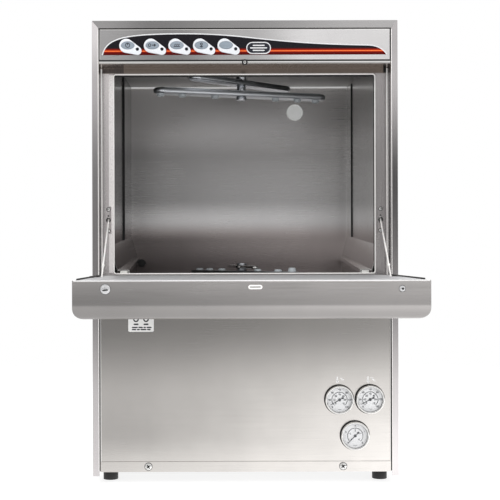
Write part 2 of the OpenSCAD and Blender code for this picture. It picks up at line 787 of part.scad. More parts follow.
base_pan();
left_side_panel();
right_side_panel();
top_panel();
back_panel();
door_frame();
lower_panel();
panel_screws();
data_label();
control_panel();
control_overlay();
button_surrounds();
indicator_lights();
control_board();
hinge_brackets();
rod_guides();
left_chamber_wall();
right_chamber_wall();
chamber_back_wall();
chamber_ceiling();
wash_tank();
rack_rails();
rack_stops();
port_cap();
temperature_probe();
upper_manifold();
lower_manifold();
tank_strainer();
tank_heater();
pump_housing();
pump_motor();
pump_impeller();
booster_tank();
inlet_valve();
drain_outlet();
gauge_cases();
gauge_lenses();
wash_needle();
rinse_needle();
pressure_needle();
power_button();
start_button();
fill_button();
drain_button();
delime_button();
door_outer_skin();
door_inner_skin();
door_handle();
handle_screws();
door_pins();
left_stay_rod();
right_stay_rod();
upper_wash_arm();
upper_rinse_arm();
lower_wash_arm();
lower_rinse_arm();
front_left_foot();
front_right_foot();
rear_left_foot();
rear_right_foot();
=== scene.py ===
import json
import math

import bmesh
import bpy
from mathutils import Matrix, Vector


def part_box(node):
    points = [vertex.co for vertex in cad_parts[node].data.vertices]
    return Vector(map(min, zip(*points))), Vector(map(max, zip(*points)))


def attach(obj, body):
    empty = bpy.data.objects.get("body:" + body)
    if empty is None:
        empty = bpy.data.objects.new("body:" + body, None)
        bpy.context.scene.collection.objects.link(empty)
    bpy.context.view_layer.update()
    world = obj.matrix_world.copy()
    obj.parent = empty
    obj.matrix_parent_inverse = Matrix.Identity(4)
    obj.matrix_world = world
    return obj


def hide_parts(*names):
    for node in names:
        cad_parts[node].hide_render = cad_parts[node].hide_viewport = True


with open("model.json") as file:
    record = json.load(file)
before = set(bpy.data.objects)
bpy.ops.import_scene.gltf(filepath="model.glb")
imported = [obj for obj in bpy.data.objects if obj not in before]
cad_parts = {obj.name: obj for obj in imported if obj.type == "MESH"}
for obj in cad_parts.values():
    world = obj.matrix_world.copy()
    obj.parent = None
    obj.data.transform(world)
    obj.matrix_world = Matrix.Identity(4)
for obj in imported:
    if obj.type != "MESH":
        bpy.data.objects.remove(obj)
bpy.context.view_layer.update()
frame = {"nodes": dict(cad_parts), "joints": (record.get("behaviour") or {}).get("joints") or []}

MM = 0.001
# The plane of the front flanges; depths below are measured behind it, in millimetres
FRONT_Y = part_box("left_side_panel")[0].y


def at(x, depth, z):
    """A point from millimetres: x, depth behind the front flange, height."""
    return Vector((x * MM, FRONT_Y + depth * MM, z * MM))


def depth_of(y):
    """Depth in millimetres of a frame coordinate."""
    return (y - FRONT_Y) / MM


# ---------------------------------------------------------------- camera

CAMERA_DISTANCE = 2050
CAMERA_X = -54
CAMERA_Z = 457
CAMERA_ROLL = 0.16      # degrees
VIEW_WIDTH = 997.7      # what the frame spans at the front flange
SENSOR = 36


def make_camera():
    data = bpy.data.cameras.new("camera")
    data.sensor_width = SENSOR
    data.lens = SENSOR * CAMERA_DISTANCE / VIEW_WIDTH
    data.shift_x = 0.0636
    data.shift_y = 0.010
    data.clip_end = 50
    camera = bpy.data.objects.new("camera", data)
    bpy.context.scene.collection.objects.link(camera)
    camera.location = at(CAMERA_X, -CAMERA_DISTANCE, CAMERA_Z)
    camera.rotation_euler = (math.radians(90), math.radians(CAMERA_ROLL), 0)
    bpy.context.scene.camera = camera


make_camera()

# ---------------------------------------------------------------- materials


def add_node(tree, kind, inputs, **settings):
    """Adds a shader node; its inputs are constants to set or sockets to link."""
    node = tree.nodes.new("ShaderNode" + kind)
    for name, value in settings.items():
        setattr(node, name, value)
    for name, value in inputs.items():
        if isinstance(value, bpy.types.NodeSocket):
            tree.links.new(value, node.inputs[name])
        else:
            node.inputs[name].default_value = value
    return node


def add_spread(tree, value, low, high, from_low, from_high):
    """Maps a value from one range to another, and holds it within the new one."""
    inputs = {"Value": value, "To Min": low, "To Max": high, "From Min": from_low, "From Max": from_high}
    return add_node(tree, "MapRange", inputs).outputs["Result"]


def add_ramp(tree, along, stops, interpolation="EASE"):
    """Colour that follows a value; stops are (position, colour)."""
    node = add_node(tree, "ValToRGB", {"Fac": along})
    ramp = node.color_ramp
    ramp.interpolation = interpolation
    first, last = ramp.elements[0], ramp.elements[1]
    first.position, first.color = stops[0][0], (*stops[0][1], 1)
    last.position, last.color = stops[-1][0], (*stops[-1][1], 1)
    for position, color in stops[1:-1]:
        ramp.elements.new(position).color = (*color, 1)
    return node.outputs["Color"]


def grey_or_color(level):
    return (level,) * 3 if isinstance(level, (int, float)) else level


class Shader:
    """A principled material with the few node steps that the surfaces below share."""

    def __init__(self, name, color, metallic, roughness):
        self.mat = bpy.data.materials.new(name)
        self.mat.use_nodes = True
        self.tree = self.mat.node_tree
        self.bsdf = self.tree.nodes["Principled BSDF"]
        self.set("Base Color", (*color, 1))
        self.set("Metallic", metallic)
        self.set("Roughness", roughness)
        self.place = self.tree.nodes.new("ShaderNodeTexCoord").outputs["Object"]

    def set(self, socket, value):
        self.bsdf.inputs[socket].default_value = value

    def to(self, value, socket):
        self.tree.links.new(value, self.bsdf.inputs[socket])

    def add(self, kind, inputs, **settings):
        return add_node(self.tree, kind, inputs, **settings)

    def axis(self, name):
        """The X, Y or Z of each point of the surface, in metres."""
        return self.add("SeparateXYZ", {"Vector": self.place}).outputs[name]

    def noise(self, scale, detail=3.0, rough=0.5):
        """Noise over the part; scale is how fast it changes along X, Y and Z, per metre."""
        place = self.add("Mapping", {"Scale": scale, "Vector": self.place}).outputs["Vector"]
        inputs = {"Scale": 1.0, "Detail": detail, "Roughness": rough, "Vector": place}
        return self.add("TexNoise", inputs).outputs["Fac"]

    def spread(self, value, low, high, from_low=0.3, from_high=0.7):
        return add_spread(self.tree, value, low, high, from_low, from_high)

    def plus(self, a, b):
        return self.add("Math", {0: a, 1: b}, operation="ADD").outputs["Value"]

    def mix(self, factor, a, b, blend="MIX"):
        """Blends two colours, each a plain one or a socket."""
        a, b = [c if isinstance(c, bpy.types.NodeSocket) else (*c, 1) for c in (a, b)]
        inputs = {"Factor": factor, "A": a, "B": b}
        return self.add("Mix", inputs, data_type="RGBA", blend_type=blend).outputs["Result"]

    def bands(self, axis, stops, across=None):
        """Level that changes along X, Y or Z; stops are (place in mm, level from 0 to 1 or colour).

        With a third item in each stop the level also changes from left to right, between the
        two places named in across.
        """
        low, high = stops[0][0] * MM, stops[-1][0] * MM
        along = self.spread(self.axis(axis), 0, 1, low, high)
        columns = []
        for column in range(1, len(stops[0])):
            levels = [((stop[0] * MM - low) / (high - low), grey_or_color(stop[column])) for stop in stops]
            columns.append(add_ramp(self.tree, along, levels))
        if across is None:
            return columns[0]
        return self.mix(self.spread(self.axis("X"), 0, 1, across[0] * MM, across[1] * MM), *columns)

    def front_only(self, color, beyond):
        """Keeps a colour on the front sheet and fades to a plain grey level a little way behind it."""
        fade = self.spread(self.axis("Y"), 0, 1, FRONT_Y + 2 * MM, FRONT_Y + 6 * MM)
        return self.mix(fade, color, (beyond,) * 3)

    def bump(self, height, strength, distance):
        node = self.add("Bump", {"Strength": strength, "Distance": distance, "Height": height})
        self.to(node.outputs["Normal"], "Normal")


GRAIN_FINE = 1400       # brush lines per metre across the grain
GRAIN_LONG = 9          # how often a brush line ends, per metre
STEEL_TINT = (1.0, 0.99, 0.97)


def steel(name, tone, roughness, along, grain=0.035, tint=STEEL_TINT, cloud=0.10, bands=(), beyond=0,
          metallic=1.0):
    """Stainless sheet brushed along X, Y or Z, with faint handling marks and wide bands of painted reflection
    and shade.
    """
    color = tuple(tone * t for t in tint)
    s = Shader(name, color, metallic, roughness)
    scale = [GRAIN_FINE] * 3
    scale["XYZ".index(along)] = GRAIN_LONG
    lines = s.noise(scale, detail=2.0)
    marks = s.noise((5, 5, 4), detail=4.0, rough=0.6)
    base = s.mix(s.spread(marks, 0, 1), tuple(c * (1 - cloud) for c in color), color)
    for band in bands:
        base = s.mix(1.0, base, s.bands(*band), blend="MULTIPLY")
    if beyond:
        base = s.front_only(base, beyond)
    s.to(base, "Base Color")
    brushed = s.spread(lines, roughness - grain, roughness + grain)
    s.to(s.plus(brushed, s.spread(marks, 0.03, -0.03)), "Roughness")
    s.bump(lines, 0.10, 0.00005)
    return s.mat


def plain(name, color, roughness, metallic=0.0, mottling=0.08, bump=0.15, size=900, coat=0.0, painted_light=0.0):
    """Moulded, cast or painted surface with a fine texture; a glowing emission, painted light, lifts parts
    deep in shade.
    """
    s = Shader(name, color, metallic, roughness)
    s.set("Emission Color", (*color, 1))
    s.set("Emission Strength", painted_light)
    grain = s.noise((size, size, size), detail=2.0)
    patches = s.noise((14, 14, 14), detail=3.0)
    darker = tuple(c * (1 - mottling) for c in color)
    s.to(s.mix(s.spread(patches, 0, 1), darker, color), "Base Color")
    s.to(s.spread(grain, max(0.02, roughness - 0.06), roughness + 0.06), "Roughness")
    s.bump(grain, bump, 0.0001)
    s.set("Coat Weight", coat)
    s.set("Coat Roughness", 0.06)
    return s.mat


def glass(name):
    s = Shader(name, (0.95, 0.98, 1.0), 0.0, 0.03)
    smears = s.noise((60, 60, 60), detail=3.0)
    s.to(s.spread(smears, 0.02, 0.09), "Roughness")
    s.set("Alpha", 0.04)
    s.set("IOR", 1.5)
    return s.mat


# Reflections and shade painted into the steel's colour, as (place in mm, level) or (place in mm, level at
# left, level at right)

# The front flanges carry a painted reflection: bright at the top and the foot and darker in the middle
FLANGE_PAINTED_REFLECTION = ((0, 0.85, 0.9), (150, 0.75, 0.8), (400, 0.4, 0.4), (600, 0.4, 0.2), (800, 0.7, 0.8),
               (900, 1, 0.7))
FLANGE_ACROSS = (-296, 296)
# Painted reflection on the lower panel: brighter towards the floor, and brighter on its right side
PANEL_PAINTED_REFLECTION = ((30, 0.8, 0.85), (100, 0.55, 0.85), (180, 0.6, 0.8), (320, 0.35, 0.45))
PANEL_ACROSS = (-200, 250)
# One soft painted sheen crosses the chamber's back, with warm painted shade below it
BACK_PAINTED_SHEEN_AND_SHADE = ((420, 0.15, 0.4), (490, 0.25, 0.6), (545, 0.9, 1), (600, 0.45, 0.65), (700, 0.45, 0.6),
             (780, 1, 1))
BACK_ACROSS = (-150, 200)
# Warm tint of the painted shade under the sheen
BACK_PAINTED_SHADE_TINT = ((400, (1, 0.87, 0.86)), (500, (1, 0.89, 0.87)), (545, (1, 0.98, 0.98)), (880, (1, 0.97, 0.96)))
# The handle is painted darker where it rolls under, as shade, and brighter above, as a reflection
HANDLE_PAINTED_LIGHT_AND_SHADE = ((355, 0.35, 0.4), (375, 0.35, 0.45), (410, 0.6, 0.9))
HANDLE_ACROSS = (-200, 200)
# Painted reflections make the control strip and the top edge brighter on the right
CONTROL_PAINTED_REFLECTION = ((-280, 0.5), (-150, 0.35), (0, 0.6), (150, 1))
TOP_PAINTED_REFLECTION = ((-290, 0.45), (-180, 0.3), (0, 0.4), (240, 0.65))
# Each jamb is painted from a bright outer fold to a darker inner one, as highlight and shade
JAMB_PAINTED_LIGHT_AND_SHADE = ((-278, 0.85), (-277, 0.7), (-267, 0.7), (-266, 0.55), (266, 0.5), (280, 0.55), (286, 0.7))
# The header over the opening, the chamber's sides and its ceiling are darkened with painted shade, warm on the
# header
HEADER_PAINTED_SHADE = ((827, 1), (829, (0.48, 0.43, 0.38)))
SIDE_PAINTED_SHADE = ((-274, 0.35), (270, 0.95))
CEILING_PAINTED_SHADE = ((170, 0.07), (290, 0.08), (430, 0.35))

M = {
    "flange": steel("steel_flange", 1.0, 0.24, "Z", tint=(1.0, 0.955, 0.96),
                    bands=[("Z", FLANGE_PAINTED_REFLECTION, FLANGE_ACROSS)], beyond=0.46),
    "panel": steel("steel_panel", 1.0, 0.22, "X", tint=(1.0, 0.96, 0.92),
                   bands=[("Z", PANEL_PAINTED_REFLECTION, PANEL_ACROSS)]),
    "controls": steel("steel_controls", 1.0, 0.22, "X", tint=(1.0, 0.98, 0.98), bands=[("X", CONTROL_PAINTED_REFLECTION)]),
    "top": steel("steel_top", 1.0, 0.26, "X", tint=(1.0, 0.975, 0.97), bands=[("X", TOP_PAINTED_REFLECTION)],
                 beyond=0.42),
    "frame": steel("steel_frame", 1.0, 0.24, "Z", tint=(1.0, 0.945, 0.94),
                   bands=[("X", JAMB_PAINTED_LIGHT_AND_SHADE), ("Z", HEADER_PAINTED_SHADE)]),
    "chamber": steel("steel_chamber", 1.0, 0.30, "X", grain=0.03, tint=(1.0, 1.0, 1.0),
                     bands=[("Z", BACK_PAINTED_SHEEN_AND_SHADE, BACK_ACROSS), ("Z", BACK_PAINTED_SHADE_TINT)]),
    "chamber_side": steel("steel_chamber_side", 0.60, 0.2, "Z", grain=0.02, bands=[("X", SIDE_PAINTED_SHADE)]),
    "ceiling": steel("steel_ceiling", 1.0, 0.45, "X", grain=0.02, bands=[("Y", CEILING_PAINTED_SHADE)]),
    "door": steel("steel_door", 0.58, 0.24, "X"),
    "handle": steel("steel_handle", 1.0, 0.24, "X", tint=(1.0, 0.96, 0.94),
                    bands=[("Z", HANDLE_PAINTED_LIGHT_AND_SHADE, HANDLE_ACROSS)]),
    "liner": steel("steel_liner", 0.84, 0.42, "X", grain=0.03, tint=(0.98, 0.98, 1.0), metallic=0.5),
    # Near-black steel painted as the shade in the header's corner
    "corner": steel("steel_corner_painted_shade", 0.13, 0.28, "Z", tint=(1.0, 0.88, 0.84)),
    "arm": steel("steel_arm", 0.72, 0.40, "X", tint=(0.95, 0.98, 1.03)),
    "bright": steel("steel_bright", 0.85, 0.10, "X", grain=0.02, cloud=0.05),
    "chrome": steel("steel_polished", 0.95, 0.16, "X", grain=0.01, cloud=0.05),
    "dull": steel("steel_galvanised", 0.45, 0.42, "X", grain=0.06, cloud=0.25),
    # Black for seals and joints, also used for sheets painted as shade in gaps, recesses and round the gauges
    "seal_and_shade": plain("black_seal_and_shade", (0.008, 0.008, 0.008), 0.55),
    "black": plain("plastic_black", (0.018, 0.018, 0.018), 0.45),
    "rubber": plain("rubber_black", (0.015, 0.015, 0.015), 0.55, bump=0.3),
    "nylon": plain("nylon_white", (0.82, 0.81, 0.78), 0.42),
    # Plain materials below that are given a glowing emission carry painted light, lifting parts that lie in
    # shade; none of them is a lamp
    "cap": plain("cap_grey", (0.80, 0.81, 0.80), 0.42, mottling=0.2, painted_light=0.35),
    "nozzle": plain("nozzle_grey", (0.42, 0.45, 0.47), 0.34, coat=0.2, painted_light=0.12),
    "lip": plain("lip_bright", (0.86, 0.84, 0.82), 0.30, metallic=0.3, painted_light=0.30),
    # Bright glowing material painted as the highlight on the left jamb's fold
    "fold": plain("fold_painted_highlight", (0.80, 0.77, 0.76), 0.30, metallic=0.3, painted_light=0.20),
    "bolt": plain("bolt_satin", (0.66, 0.66, 0.67), 0.28, metallic=0.6, painted_light=0.06),
    # Bright glowing material painted as the highlight on the ceiling weld and along the handle's top edge
    "weld": plain("weld_and_edge_highlight", (0.85, 0.85, 0.85), 0.30, metallic=0.2, painted_light=0.40),
    "surround": plain("surround_pearl", (0.80, 0.82, 0.86), 0.30, metallic=0.1, coat=0.4),
    "key": plain("key_grey", (0.30, 0.35, 0.41), 0.32, metallic=0.3, coat=0.2),
    "print": plain("print_white", (0.90, 0.90, 0.90), 0.45, painted_light=0.15),
    "ink": plain("ink_black", (0.012, 0.014, 0.020), 0.5),
    "lamp": plain("lamp_dark", (0.006, 0.008, 0.016), 0.20),
    "silver": plain("film_silver", (0.86, 0.86, 0.88), 0.30, metallic=0.4),
    "dial": plain("dial_white", (0.84, 0.84, 0.85), 0.40, painted_light=0.08),
    "label": plain("label_white", (0.86, 0.86, 0.85), 0.35, painted_light=0.1),
    "paint": plain("motor_paint", (0.05, 0.06, 0.075), 0.38, coat=0.2),
    "brass": plain("brass", (0.72, 0.50, 0.22), 0.28, metallic=1.0, mottling=0.2),
    "board": plain("board_green", (0.02, 0.14, 0.05), 0.35, coat=0.4),
    "glass": glass("lens_glass"),
}

# ---------------------------------------------------------------- mesh helpers


def add_piece(name, bm, material, body="cabinet", hides=(), smooth=True, angle=35):
    """Makes a piece of a bmesh, gives it a material and lets it ride on a body."""
    bmesh.ops.recalc_face_normals(bm, faces=bm.faces)
    mesh = bpy.data.meshes.new(name)
    bm.to_mesh(mesh)
    bm.free()
    piece = bpy.data.objects.new(name, mesh)
    bpy.context.scene.collection.objects.link(piece)
    mesh.materials.append(M[material])
    if smooth:
        mesh.polygons.foreach_set("use_smooth", [True] * len(mesh.polygons))
        mesh.set_sharp_from_angle(angle=math.radians(angle))
    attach(piece, body)
    if hides:
        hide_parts(*hides)
    return piece


def box_mm(name):
    """Lowest and highest corner of a CAD node in millimetres, with y as the depth."""
    return [Vector((c.x / MM, depth_of(c.y), c.z / MM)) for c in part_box(name)]


def joint_place(child):
    """Where the joint of a moving body lies, in metres."""
    return Vector(next(j for j in frame["joints"] if j["child"] == child)["pos_m"])


# Turns local x, y, z into x, height and depth, so that local +Z faces the viewer
FACING = Matrix(((1, 0, 0, 0), (0, 0, -1, 0), (0, 1, 0, 0), (0, 0, 0, 1)))


def facing(x, depth, z, turn=0):
    """Matrix for shapes drawn in mm as seen from the front, with +Z towards the viewer."""
    return spun(Matrix.Translation(at(x, depth, z)) @ FACING @ Matrix.Scale(MM, 4), turn)


def upright(x, depth, z, turn=0):
    """Matrix for shapes drawn in mm with +Z up, turned about the vertical."""
    return spun(Matrix.Translation(at(x, depth, z)) @ Matrix.Scale(MM, 4), turn)


def spun(matrix, degrees):
    """Turns what a matrix places about its own Z."""
    return matrix @ Matrix.Rotation(math.radians(degrees), 4, "Z")


def spaced(start, end, steps):
    """Angles in radians from start to end degrees, both included."""
    return [math.radians(start + (end - start) * i / steps) for i in range(steps + 1)]


def full_turn(steps):
    return [2 * math.pi * i / steps for i in range(steps)]


def join_rings(bm, rings, around=False):
    """Skins a run of rings with faces; around also joins the last ring to the first."""
    for low, high in zip(rings, rings[1:] + (rings[:1] if around else [])):
        for i in range(len(low)):
            j = (i + 1) % len(low)
            bm.faces.new((low[i], low[j], high[j], high[i]))


def add_lathe(bm, profile, matrix, steps=48):
    """Adds a turned shape: profile is a list of (radius, height) about local Z."""
    rings = []
    for r, height in profile:
        angles = full_turn(steps) if r > 1e-6 else [0]
        spots = [Vector((r * math.cos(a), r * math.sin(a), height)) for a in angles]
        rings.append([bm.verts.new(matrix @ spot) for spot in spots])
    for low, high in zip(rings, rings[1:]):
        for i in range(steps):
            j = (i + 1) % steps
            corners = [low[i % len(low)], low[j % len(low)], high[j % len(high)], high[i % len(high)]]
            unique = list(dict.fromkeys(corners))
            if len(unique) > 2:
                bm.faces.new(unique)
    return rings


def add_ring(bm, inner, outer, low, high, matrix):
    """Adds a flat washer between two radii."""
    rings = add_lathe(bm, [(inner, low), (outer, low), (outer, high), (inner, high)], matrix, steps=72)
    join_rings(bm, [rings[-1], rings[0]])


def add_slab(bm, outline, low, high, matrix, bevel=0.0, steps=2):
    """Adds a prism over a closed outline in mm, with its edges rounded by bevel."""
    base = [bm.verts.new(Vector((x, y, low))) for x, y in outline]
    top = [bm.verts.new(Vector((x, y, high))) for x, y in outline]
    faces = [bm.faces.new(base[::-1]), bm.faces.new(top)]
    for i in range(len(outline)):
        j = (i + 1) % len(outline)
        faces.append(bm.faces.new((base[i], base[j], top[j], top[i])))
    made = set(base + top)
    if bevel:
        rim = [e for f in faces[:2] for e in f.edges]
        done = bmesh.ops.bevel(bm, geom=rim, offset=bevel, segments=steps, profile=0.5, affect="EDGES")
        made |= set(done["verts"])
    made = [v for v in made if v.is_valid]
    bmesh.ops.transform(bm, matrix=matrix, verts=made)


def add_block(bm, low, high, bevel=0.0, steps=2):
    """Adds a block between two corners in mm of (x, depth, z), with rounded edges."""
    xs, ys, zs = zip(low, high)
    verts = [bm.verts.new(at(x, y, z)) for x in xs for y in ys for z in zs]
    made = bmesh.ops.convex_hull(bm, input=verts)
    edges = {e for f in made["geom"] if isinstance(f, bmesh.types.BMFace) for e in f.edges}
    bmesh.ops.dissolve_limit(bm, angle_limit=0.01, verts=verts, edges=list(edges))
    if bevel:
        edges = list({e for v in verts for e in v.link_edges})
        bmesh.ops.bevel(bm, geom=edges, offset=bevel * MM, segments=steps, profile=0.5, affect="EDGES")


def stadium(length, width, steps=12):
    """Outline of a bar with round ends, centred on 0."""
    r = width / 2
    half = length / 2 - r
    right = [(half + r * math.cos(a), r * math.sin(a)) for a in spaced(-90, 90, steps)]
    left = [(-half + r * math.cos(a), r * math.sin(a)) for a in spaced(90, 270, steps)]
    return right + left


def circle(x, y, r, steps=24):
    return [(x + r * math.cos(a), y + r * math.sin(a)) for a in full_turn(steps)]


def rounded_box(x0, y0, x1, y1, r, steps=5):
    """Outline of a rectangle with round corners."""
    corners = ((x1 - r, y0 + r, -90), (x1 - r, y1 - r, 0), (x0 + r, y1 - r, 90), (x0 + r, y0 + r, 180))
    return [(x + r * math.cos(a), y + r * math.sin(a)) for x, y, start in corners
            for a in spaced(start, start + 90, steps)]


def add_tube(bm, points, radius, steps=12, closed=False):
    """Adds a round tube along points in metres."""
    rings = []
    count = len(points)
    for i, p in enumerate(points):
        before = points[i - 1] if closed or i else p
        after = points[(i + 1) % count] if closed or i < count - 1 else p
        forward = (after - before).normalized()
        side = forward.cross(Vector((0, 1, 0)))
        if side.length < 0.2:
            side = forward.cross(Vector((1, 0, 0)))
        side.normalize()
        up = side.cross(forward)
        spokes = [math.cos(a) * side + math.sin(a) * up for a in full_turn(steps)]
        rings.append([bm.verts.new(p + radius * MM * spoke) for spoke in spokes])
    join_rings(bm, rings, around=closed)
    if not closed:
        bm.faces.new(rings[0][::-1])
        bm.faces.new(rings[-1])


def add_rod(bm, x, depth, low, high, radius):
    """Adds a thin upright rod between two heights."""
    add_tube(bm, [at(x, depth, low), at(x, depth, high)], radius, steps=8)


# ---------------------------------------------------------------- CAD nodes that keep their shape

# node: (material, edge radius in mm)
SKINS = {
    "left_side_panel": ("flange", 0.5), "right_side_panel": ("flange", 0.5), "top_panel": ("top", 0.5),
    "lower_panel": ("panel", 0.5), "control_panel": ("controls", 0.5), "door_frame": ("frame", 0.4),
    "back_panel": ("dull", 0.3), "base_pan": ("dull", 0.3), "hinge_brackets": ("dull", 0.5),
    "rod_guides": ("frame", 0.3), "left_chamber_wall": ("chamber_side", 0.3),
    "right_chamber_wall": ("chamber_side", 0.3), "chamber_back_wall": ("chamber", 0.3),
    "chamber_ceiling": ("ceiling", 0.3), "wash_tank": ("chamber", 0.3), "rack_rails": ("bright", 0.3),
    "rack_stops": ("nylon", 1.5), "temperature_probe": ("black", 0.8), "upper_manifold": ("arm", 0.8),
    "lower_manifold": ("arm", 0.8), "tank_strainer": ("bright", 0.2), "tank_heater": ("dull", 0),
    "pump_housing": ("black", 1.0), "pump_impeller": ("brass", 0.3), "drain_outlet": ("black", 0.8),
    "inlet_valve": ("brass", 0.8), "control_board": ("board", 0.2), "door_outer_skin": ("door", 0.5),
    "door_pins": ("bright", 0.3), "gauge_lenses": ("glass", 0),
    "front_left_foot": ("rubber", 1.2), "front_right_foot": ("rubber", 1.2),
    "rear_left_foot": ("rubber", 1.2), "rear_right_foot": ("rubber", 1.2),
    "booster_tank": ("dull", 2.0), "pump_motor": ("paint", 1.5),
}


def skin_nodes():
    for name, (material, edge) in SKINS.items():
        node = frame["nodes"][name]
        node.data.materials.clear()
        node.data.materials.append(M[material])
        if edge:
            weld = node.modifiers.new("weld", "WELD")
            weld.merge_threshold = 0.00002
            bevel = node.modifiers.new("edges", "BEVEL")
            bevel.width = edge * MM
            bevel.segments = 2
            bevel.limit_method = "ANGLE"
            bevel.angle_limit = math.radians(40)
            bevel.harden_normals = True


# ---------------------------------------------------------------- control panel

BUTTONS = ["power_button", "start_button", "fill_button", "drain_button", "delime_button"]
LAMP = (19.3, -7.6)     # indicator light, from the centre of its key


def key_centre(name):
    low, high = box_mm(name)
    return (low.x + high.x) / 2, (low.z + high.z) / 2


def bezier(p, steps):
    """Points of one cubic curve, without its first point."""
    points = []
    for i in range(1, steps + 1):
        t = i / steps
        weights = ((1 - t) ** 3, 3 * t * (1 - t) ** 2, 3 * t * t * (1 - t), t ** 3)
        points.append(tuple(sum(w * q[k] for w, q in zip(weights, p)) for k in (0, 1)))
    return points


FILM_BASE = 856.6
FILM_LEFT = (-283.7, FILM_BASE)
FILM_CREST = (-130, 898.5)
FILM_SHOULDER = (247, 875)
FILM_TIP = (283.5, FILM_BASE)
FILM_BAND = 15          # height that the film's red band rises to, above its base
# Colours up the band, as (share of its height, colour): dark red with a glowing orange middle
BAND_COLORS = ((0.0, (0.020, 0.0, 0.0)), (0.12, (0.070, 0.001, 0.001)), (0.38, (0.11, 0.003, 0.002)),
               (0.48, (0.45, 0.03, 0.008)), (0.55, (1.0, 0.24, 0.06)), (0.62, (0.42, 0.03, 0.008)),
               (0.80, (0.10, 0.004, 0.003)), (0.94, (0.010, 0.009, 0.012)))


def film_outline():
    top = [FILM_LEFT]
    top += bezier((FILM_LEFT, (-276, 889), (-245, 898), FILM_CREST), 20)
    top += bezier((FILM_CREST, (10, 899), (30, 879), FILM_SHOULDER), 24)
    top += bezier((FILM_SHOULDER, (262, 874.5), (274, 870), FILM_TIP), 12)
    return top


def film_material():
    """Black printed film with a red band that glows along its middle."""
    s = Shader("film_print", (0.012, 0.010, 0.014), 0.0, 0.16)
    up = s.spread(s.axis("Z"), 0, 1, (FILM_BASE - 1) * MM, (FILM_BASE + FILM_BAND) * MM)
    s.to(add_ramp(s.tree, up, BAND_COLORS, "LINEAR"), "Base Color")
    s.to(s.spread(s.noise((500, 500, 500)), 0.22, 0.30), "Roughness")
    s.set("Specular IOR Level", 0.12)
    return s.mat


def offset_outline(points, distance):
    """Moves each point of an open outline to its left by distance."""
    moved = []
    for i, p in enumerate(points):
        a, b = points[max(i - 1, 0)], points[min(i + 1, len(points) - 1)]
        dx, dy = b[0] - a[0], b[1] - a[1]
        length = math.hypot(dx, dy)
        moved.append((p[0] - dy / length * distance, p[1] + dx / length * distance))
    return moved


def build_overlay():
    M["film"] = film_material()
    place = facing(0, box_mm("control_overlay")[1].y, 0)
    outline = film_outline()
    bm = bmesh.new()
    add_slab(bm, outline[::-1], 0.0, 0.35, place)
    add_piece("control_film", bm, "film", hides=["control_overlay"], smooth=False)
    bm = bmesh.new()
    add_slab(bm, offset_outline(outline, -0.6)[::-1] + offset_outline(outline, 1.6), 0.0, 0.45, place)
    add_piece("film_border", bm, "silver", smooth=False)


BADGE_X = 27.8
BADGE_Z = 870


def build_badge():
    """Blank oval badge: a bright rim, a dark field and three plain bars."""
    face = box_mm("control_overlay")[0].y
    place = facing(BADGE_X, face, BADGE_Z)
    bm = bmesh.new()
    add_slab(bm, stadium(49.5, 24), -0.7, 0.5, place, bevel=0.5)
    add_piece("badge_rim", bm, "silver")
    bm = bmesh.new()
    add_slab(bm, stadium(45.5, 20), 0.5, 0.7, place)
    add_piece("badge_field", bm, "lamp", smooth=False)
    bm = bmesh.new()
    for length, height in ((24, 5), (34, 0), (24, -5)):
        place = facing(BADGE_X, face, BADGE_Z + height)
        add_slab(bm, stadium(length, 2.4, 6), 0.7, 1.0, place, bevel=0.2, steps=1)
    add_piece("badge_bars", bm, "silver")


# The drop-shaped surround is a row of circles between these two, as (x, z, radius) from the key's centre
DROP_HEAD = (-3, -0.5, 14)
DROP_TAIL = (19, -10.5, 8.5)
DROP_CIRCLES = 17


def surround_radius(angle):
    """Distance from the key's centre to the edge of its drop-shaped surround."""
    best = 0
    for i in range(DROP_CIRCLES):
        t = i / (DROP_CIRCLES - 1)
        x, z, r = [a * (1 - t) + b * t for a, b in zip(DROP_HEAD, DROP_TAIL)]
        along = x * math.cos(angle) + z * math.sin(angle)
        across = x * math.sin(angle) - z * math.cos(angle)
        if abs(across) < r:
            best = max(best, along + math.sqrt(r * r - across * across))
    return best


def key_radius(angle, length=26.6, width=15.6):
    """Distance from the centre of an oval to its edge."""
    a, b = length / 2, width / 2
    return a * b / math.hypot(b * math.cos(angle), a * math.sin(angle))


# Height of the surround from its outer edge to the key, as (share of the way in, height in mm)
SURROUND_PROFILE = ((0, -3.0), (0, -0.9), (0.04, -0.35), (0.12, 0.0), (0.55, 0.35), (0.85, 0.25),
                    (0.97, -0.1), (1.0, -0.6), (1.0, -3.0))


def ring_of(bm, place, height, steps, radius):
    """Ring of vertices whose distance from the middle is a function of the angle."""
    spots = [Vector((radius(a) * math.cos(a), radius(a) * math.sin(a), height)) for a in full_turn(steps)]
    return [bm.verts.new(place @ spot) for spot in spots]


def build_surrounds():
    face = box_mm("button_surrounds")[0].y
    bm = bmesh.new()
    for name in BUTTONS:
        x, z = key_centre(name)
        rings = []
        for share, height in SURROUND_PROFILE:
            rings.append(ring_of(bm, facing(x, face, z), height, 96,
                                 lambda a: surround_radius(a) * (1 - share) + key_radius(a) * share))
        join_rings(bm, rings, around=True)
    add_piece("drop_surrounds", bm, "surround", hides=["button_surrounds"], angle=50)

    rims = bmesh.new()
    domes = bmesh.new()
    for name in BUTTONS:
        x, z = key_centre(name)
        place = facing(x + LAMP[0], face, z + LAMP[1])
        add_lathe(rims, [(3.4, -0.2), (3.3, 0.5), (2.9, 0.7), (2.6, 0.4), (2.6, -0.2)], place)
        add_lathe(domes, [(2.6, -1.0), (2.6, 0.3), (2.1, 0.65), (1.1, 0.85), (0, 0.9)], place)
    add_piece("lamp_rims", rims, "black")
    add_piece("lamp_domes", domes, "lamp", hides=["indicator_lights"])


